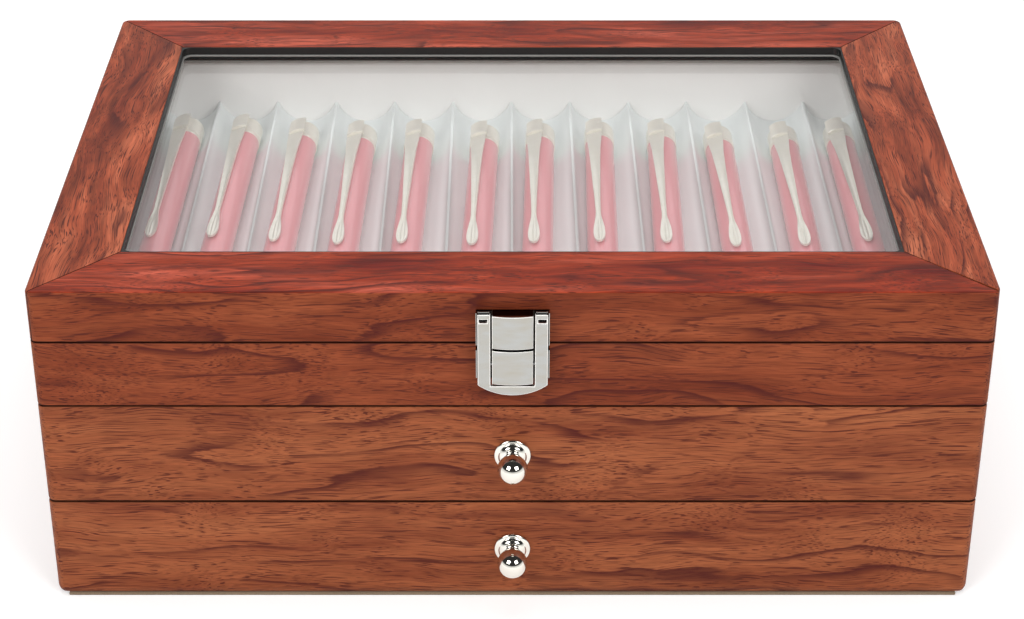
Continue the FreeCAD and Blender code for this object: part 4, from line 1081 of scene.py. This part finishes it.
def stand(bm, inner, outer, proud, behind, bottom, top):
    """Blocks left and right between these distances from the middle, or one across it if
    inner is None. They stand off the front from behind to proud."""
    spans = [(-outer, outer)] if inner is None else [(-outer, -inner), (inner, outer)]
    for left, right in spans:
        block(bm, (left, off_front(proud), bottom), (right, off_front(behind), top))


def pressed_plate(bm, bottom, top, wall_bottom, wall_proud):
    """Crowned panel on a flat plate, between two side walls; its rounded rims take the painted rim
    highlight.
    """
    crowned_panel(bm, bottom, top)
    ease(bm, PANEL_RIM, steps=3, material=1)
    stand(bm, None, LATCH_HALF, PLATE, 0, bottom, top)
    stand(bm, LATCH_HALF - WALL, LATCH_HALF, wall_proud, BITE, wall_bottom, top)


def make_keeper():
    low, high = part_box("latch_keeper")
    bottom = low.z / MM
    bm = bmesh.new()
    pressed_plate(bm, bottom, high.z / MM - KEEPER_LIP, bottom, KEEPER_WALL)
    stand(bm, ARM_INNER, ARM_OUTER, LUG_PROUD, BITE, LUG_LOW, LUG_HIGH)
    # rounded edges take the painted rim highlight
    ease(bm, PLATING_EDGE, steps=3, material=1)
    piece("latch_keeper_pressed", bm, "latch_keeper", edge=PAINTED_RIM_HIGHLIGHT)


def make_base():
    low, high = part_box("latch_base")
    top = high.z / MM
    bottom = top - BASE_HEIGHT
    bm = bmesh.new()
    pressed_plate(bm, bottom, top, bottom + EAR_SHORT, BASE_WALL)
    stand(bm, None, TONGUE_HALF, PLATE, 0, low.z / MM, bottom + TONGUE_LAP)
    # rounded edges take the painted rim highlight
    ease(bm, PLATING_EDGE, steps=3, material=1)
    piece("latch_base_pressed", bm, "latch_base", edge=PAINTED_RIM_HIGHLIGHT)


def claw_bottom(x):
    """Height of the claw's rounded lower edge."""
    radius = (ARM_OUTER ** 2 + CLAW_SAG ** 2) / (2 * CLAW_SAG)
    return CLAW_LOW + radius - math.sqrt(radius ** 2 - x ** 2)


def make_claw_sheet(bm):
    """Two arms and a rounded lower bar, cut from one sheet, with a slot in each arm."""
    slot = spread(ARM_INNER + SLOT_INSIDE, ARM_OUTER - SLOT_OUTSIDE, 4)
    arm = [ARM_INNER, *slot, ARM_OUTER]
    inner = spread(-ARM_INNER, ARM_INNER, 12)[1:-1]
    columns = [-x for x in reversed(arm)] + inner + arm
    grid = {}
    for across, x in enumerate(columns):
        bottom = claw_bottom(x)
        levels = (bottom, max(CLAW_WINDOW, bottom + CLAW_BAR), SLOT_LOW, SLOT_HIGH, ARM_TOP)
        for level, z in enumerate(levels):
            grid[across, level] = (x, z)
    front, back = LATCH_PROUD, LATCH_PROUD - CLAW_SHEET
    made = {}

    def corner(key, proud):
        if (key, proud) not in made:
            x, z = grid[key]
            made[key, proud] = bm.verts.new(Vector((x, off_front(proud), z)) * MM)
        return made[key, proud]

    kept = []
    for across, (left, right) in enumerate(zip(columns, columns[1:])):
        middle = abs(left + right) / 2
        for level in range(4):
            in_window = middle < ARM_INNER and level > 0
            in_slot = slot[0] < middle < slot[-1] and level == 2
            if not in_window and not in_slot:
                kept.append((across, level))
    for across, level in kept:
        ring = [(across, level), (across + 1, level), (across + 1, level + 1),
                (across, level + 1)]
        for proud in (front, back):
            bm.faces.new([corner(key, proud) for key in ring])
        beside = [(across, level - 1), (across + 1, level), (across, level + 1),
                  (across - 1, level)]
        for number, cell in enumerate(beside):
            if cell not in kept:
                one, two = ring[number], ring[(number + 1) % 4]
                bm.faces.new([corner(one, front), corner(two, front), corner(two, back),
                              corner(one, back)])
    bmesh.ops.recalc_face_normals(bm, faces=bm.faces)
    bmesh.ops.dissolve_limit(bm, angle_limit=math.radians(0.5), verts=bm.verts,
                             edges=bm.edges)


def make_claw():
    """Spring-loaded claw: its rolled arm tops hook over the keeper on the lid."""
    bm = bmesh.new()
    make_claw_sheet(bm)
    # rounded edges here and on the folds take the painted rim highlight
    ease(bm, CLAW_EDGE, steps=3, material=1)
    for x in (ARM_INNER, ARM_OUTER - FOLD):
        low = max(claw_bottom(x), claw_bottom(x + FOLD)) + FOLD_SHORT
        stand(bm, x, x + FOLD, LATCH_PROUD - FOLD_BITE, FOLD_PROUD, low, FOLD_TOP)
    ease(bm, FOLD_EDGE, material=1)
    stand(bm, ARM_INNER, ARM_OUTER, LATCH_PROUD - CLAW_SHEET / 2, PIVOT_PROUD,
          PIVOT_Z - PIVOT_LUG, PIVOT_Z + PIVOT_LUG)
    for side in (-1, 1):
        for profile, proud, z, steps in ((ROLL_PROFILE, ROLL_PROUD, ROLL_Z, 32),
                                         (PIVOT_PROFILE, PIVOT_PROUD, PIVOT_Z, 24)):
            turned(bm, profile, lambda far, one, two: (side * far, off_front(proud) + one,
                                                       z + two), steps)
    piece("latch_claw_pressed", bm, "latch_claw", edge=PAINTED_RIM_HIGHLIGHT)


def make_spring():
    """Return spring behind the claw's lower part, on a mesh of its own."""
    piece("latch_spring_wound", merged("latch_spring"), "latch_spring")
    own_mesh(bpy.data.objects["latch_spring_wound"])


def make_latch():
    make_keeper()
    make_base()
    make_claw()
    make_spring()


# ---------------- screws and nails

def carved(bm, boxes):
    """A body with crossed slots cut in it."""
    thing = built("carved", bm)
    tool_bm = bmesh.new()
    for low, high in boxes:
        block(tool_bm, low, high)
    tool = built("carving_tool", tool_bm)
    cut = thing.modifiers.new("slots", "BOOLEAN")
    cut.operation = "DIFFERENCE"
    cut.object = tool
    cut.use_self = True
    settle(thing)
    result = bmesh.new()
    result.from_mesh(thing.data)
    bpy.data.objects.remove(thing)
    bpy.data.objects.remove(tool)
    return result


def downwards(far, across, along):
    return (across, along, -far)


def inwards(far, across, up):
    return (across, far, up)


def make_screw_shape():
    """Countersunk cross-head wood screw that points down from its flat head."""
    bm = bmesh.new()
    turned(bm, [(0.0, 1.8), (0.08, 1.9), (1.0, 1.0), (7.0, 0.95), (8.0, 0.15)], downwards,
           steps=32)
    reach, half, deep = SCREW_SLOT
    return carved(bm, (((-reach, -half, -deep), (reach, half, deep)),
                       ((-half, -reach, -deep), (half, reach, deep))))


def make_nail_shape(reach):
    """Round-headed escutcheon pin that points into the wood; reach is its whole length."""
    bm = bmesh.new()
    dome = [(NAIL_DOME * (1 - math.sin(math.radians(angle))),
             NAIL_HEAD * math.cos(math.radians(angle)))
            for angle in (88, 70, 50, 30, 12, 0)]
    turned(bm, dome + [(NAIL_DOME + 0.02, 0.55), (reach - 0.6, 0.5), (reach, 0.1)], inwards,
           steps=24)
    return bm


def centres(node):
    """Middle of each body of a CAD node, in millimetres, in a fixed order."""
    found = []
    for points in bodies(node):
        low = Vector([min(point[axis] for point in points) for axis in range(3)])
        high = Vector([max(point[axis] for point in points) for axis in range(3)])
        found.append((tuple(round(value / MM, 3) for value in (low + high) / 2),
                      low / MM, high / MM))
    return sorted(found, key=lambda entry: entry[0])


def make_fixings():
    for node, upright in (("hinge_case_screws", True), ("hinge_lid_screws", False)):
        spots = []
        for (middle, low, high), twist in zip(centres(node), SCREW_TWISTS):
            z = high.z if upright else low.z
            turn = (0.0 if upright else math.pi, 0.0, twist)
            spots.append(((middle[0], middle[1], z), turn))
        set_out(node + "_finished", make_screw_shape(), spots, node)
    for node in ("latch_keeper_nails", "latch_base_nails"):
        found = centres(node)
        reach = found[0][2].y - found[0][1].y
        spots = [((middle[0], low.y, middle[2]), (0.0, 0.0, 0.0)) for middle, low, high in found]
        set_out(node + "_finished", make_nail_shape(reach), spots, node)


# ---------------- stage

@material
def paper(tree, spot):
    """Plain white paper: it keeps the object's shadow and shows white beyond it."""
    path = add(tree, "LightPath").outputs
    known = work(tree, {"camera": path["Is Camera Ray"], "mirror": path["Is Glossy Ray"]},
                 "seen = MAXIMUM camera mirror")
    matt = add(tree, "BsdfDiffuse", {"Color": linear("#EEEEEE")})
    white = add(tree, "Emission", {"Color": linear("#FFFFFF"), "Strength": 0.34})
    none = add(tree, "Emission", {"Color": linear("#000000"), "Strength": 0.0})
    lift = add(tree, "MixShader", {0: known["seen"], 1: none, 2: white})
    return add(tree, "AddShader", {0: matt, 1: lift})


def make_floor():
    bm = bmesh.new()
    bmesh.ops.create_circle(bm, cap_ends=True, segments=64, radius=6.0)
    floor = built("studio_floor", bm)
    floor.data.materials.append(paper("white_studio_paper"))


def make_world():
    """Soft even room. Polished metal sees it white at the horizon, dimmer above and dark
    over the front, where the lamps stand in an unlit part."""
    world = bpy.data.worlds.new("studio")
    bpy.context.scene.world = world
    world.use_nodes = True
    tree = world.node_tree
    tree.nodes.clear()
    known = work(tree, {"place": add(tree, "TexCoord").outputs["Generated"]}, """
        x y z = split place
        height = smooth z 0.1 0.35 1 0.85
        front = smooth y 0 0.6
        above = smooth z 0.08 0.3 1 0
        open = MAXIMUM front above
        shade = range open 0 1 0.04 1
        level = height * shade
        """)
    room, soft, white = [add(tree, "Background", {"Color": linear("#FFFFFF"), "Strength": level})
                         for level in (known["level"], 0.5, 1.0)]
    path = add(tree, "LightPath").outputs
    lit = add(tree, "MixShader", {0: path["Is Glossy Ray"], 1: soft, 2: room})
    seen = add(tree, "MixShader", {0: path["Is Camera Ray"], 1: lit, 2: white})
    add(tree, "OutputWorld", {"Surface": seen})


SOFT_BOXES = (  # name, place (m), size (m), power (W), whether polished metal mirrors it
    ("soft_box_left", (-0.9, -1.25, 1.15), 0.75, 11.0, True),
    ("soft_box_right", (0.9, -1.25, 1.15), 0.75, 11.0, True),
    ("soft_box_top", (0.0, 0.1, 1.6), 0.9, 7.0, False),
)


def make_lamps():
    target = Vector((0.0, 0.0, 0.08))
    for name, at, size, power, mirrored in SOFT_BOXES:
        lamp = bpy.data.lights.new(name, "AREA")
        lamp.shape = "SQUARE"
        lamp.size = size
        lamp.energy = power
        thing = new_object(name, lamp)
        thing.location = at
        thing.visible_glossy = mirrored
        thing.rotation_euler = (target - Vector(at)).to_track_quat("-Z", "Y").to_euler()


def make_camera():
    """Three quarters from above the front, with a mild long lens."""
    lens = bpy.data.cameras.new("camera")
    lens.sensor_width = 36.0
    lens.lens = 81.14
    lens.shift_x = 0.0052
    lens.shift_y = -0.0503
    lens.clip_end = 50.0
    camera = new_object("camera", lens)
    camera.location = (-0.0021, -0.8145, 0.5303)
    camera.rotation_euler = (math.radians(60.965), 0.0, 0.0)
    bpy.context.scene.camera = camera


# ---------------- whole scene

for node, thing in frame["nodes"].items():
    thing.data.materials.clear()
    thing.data.materials.append(MATERIALS[SLOT_OF[node]])

make_eased_pieces()
make_inserts()
make_pens()
make_knobs()
make_latch()
make_fixings()
make_floor()
make_world()
make_lamps()
make_camera()
bpy.context.scene.view_settings.view_transform = "Standard"
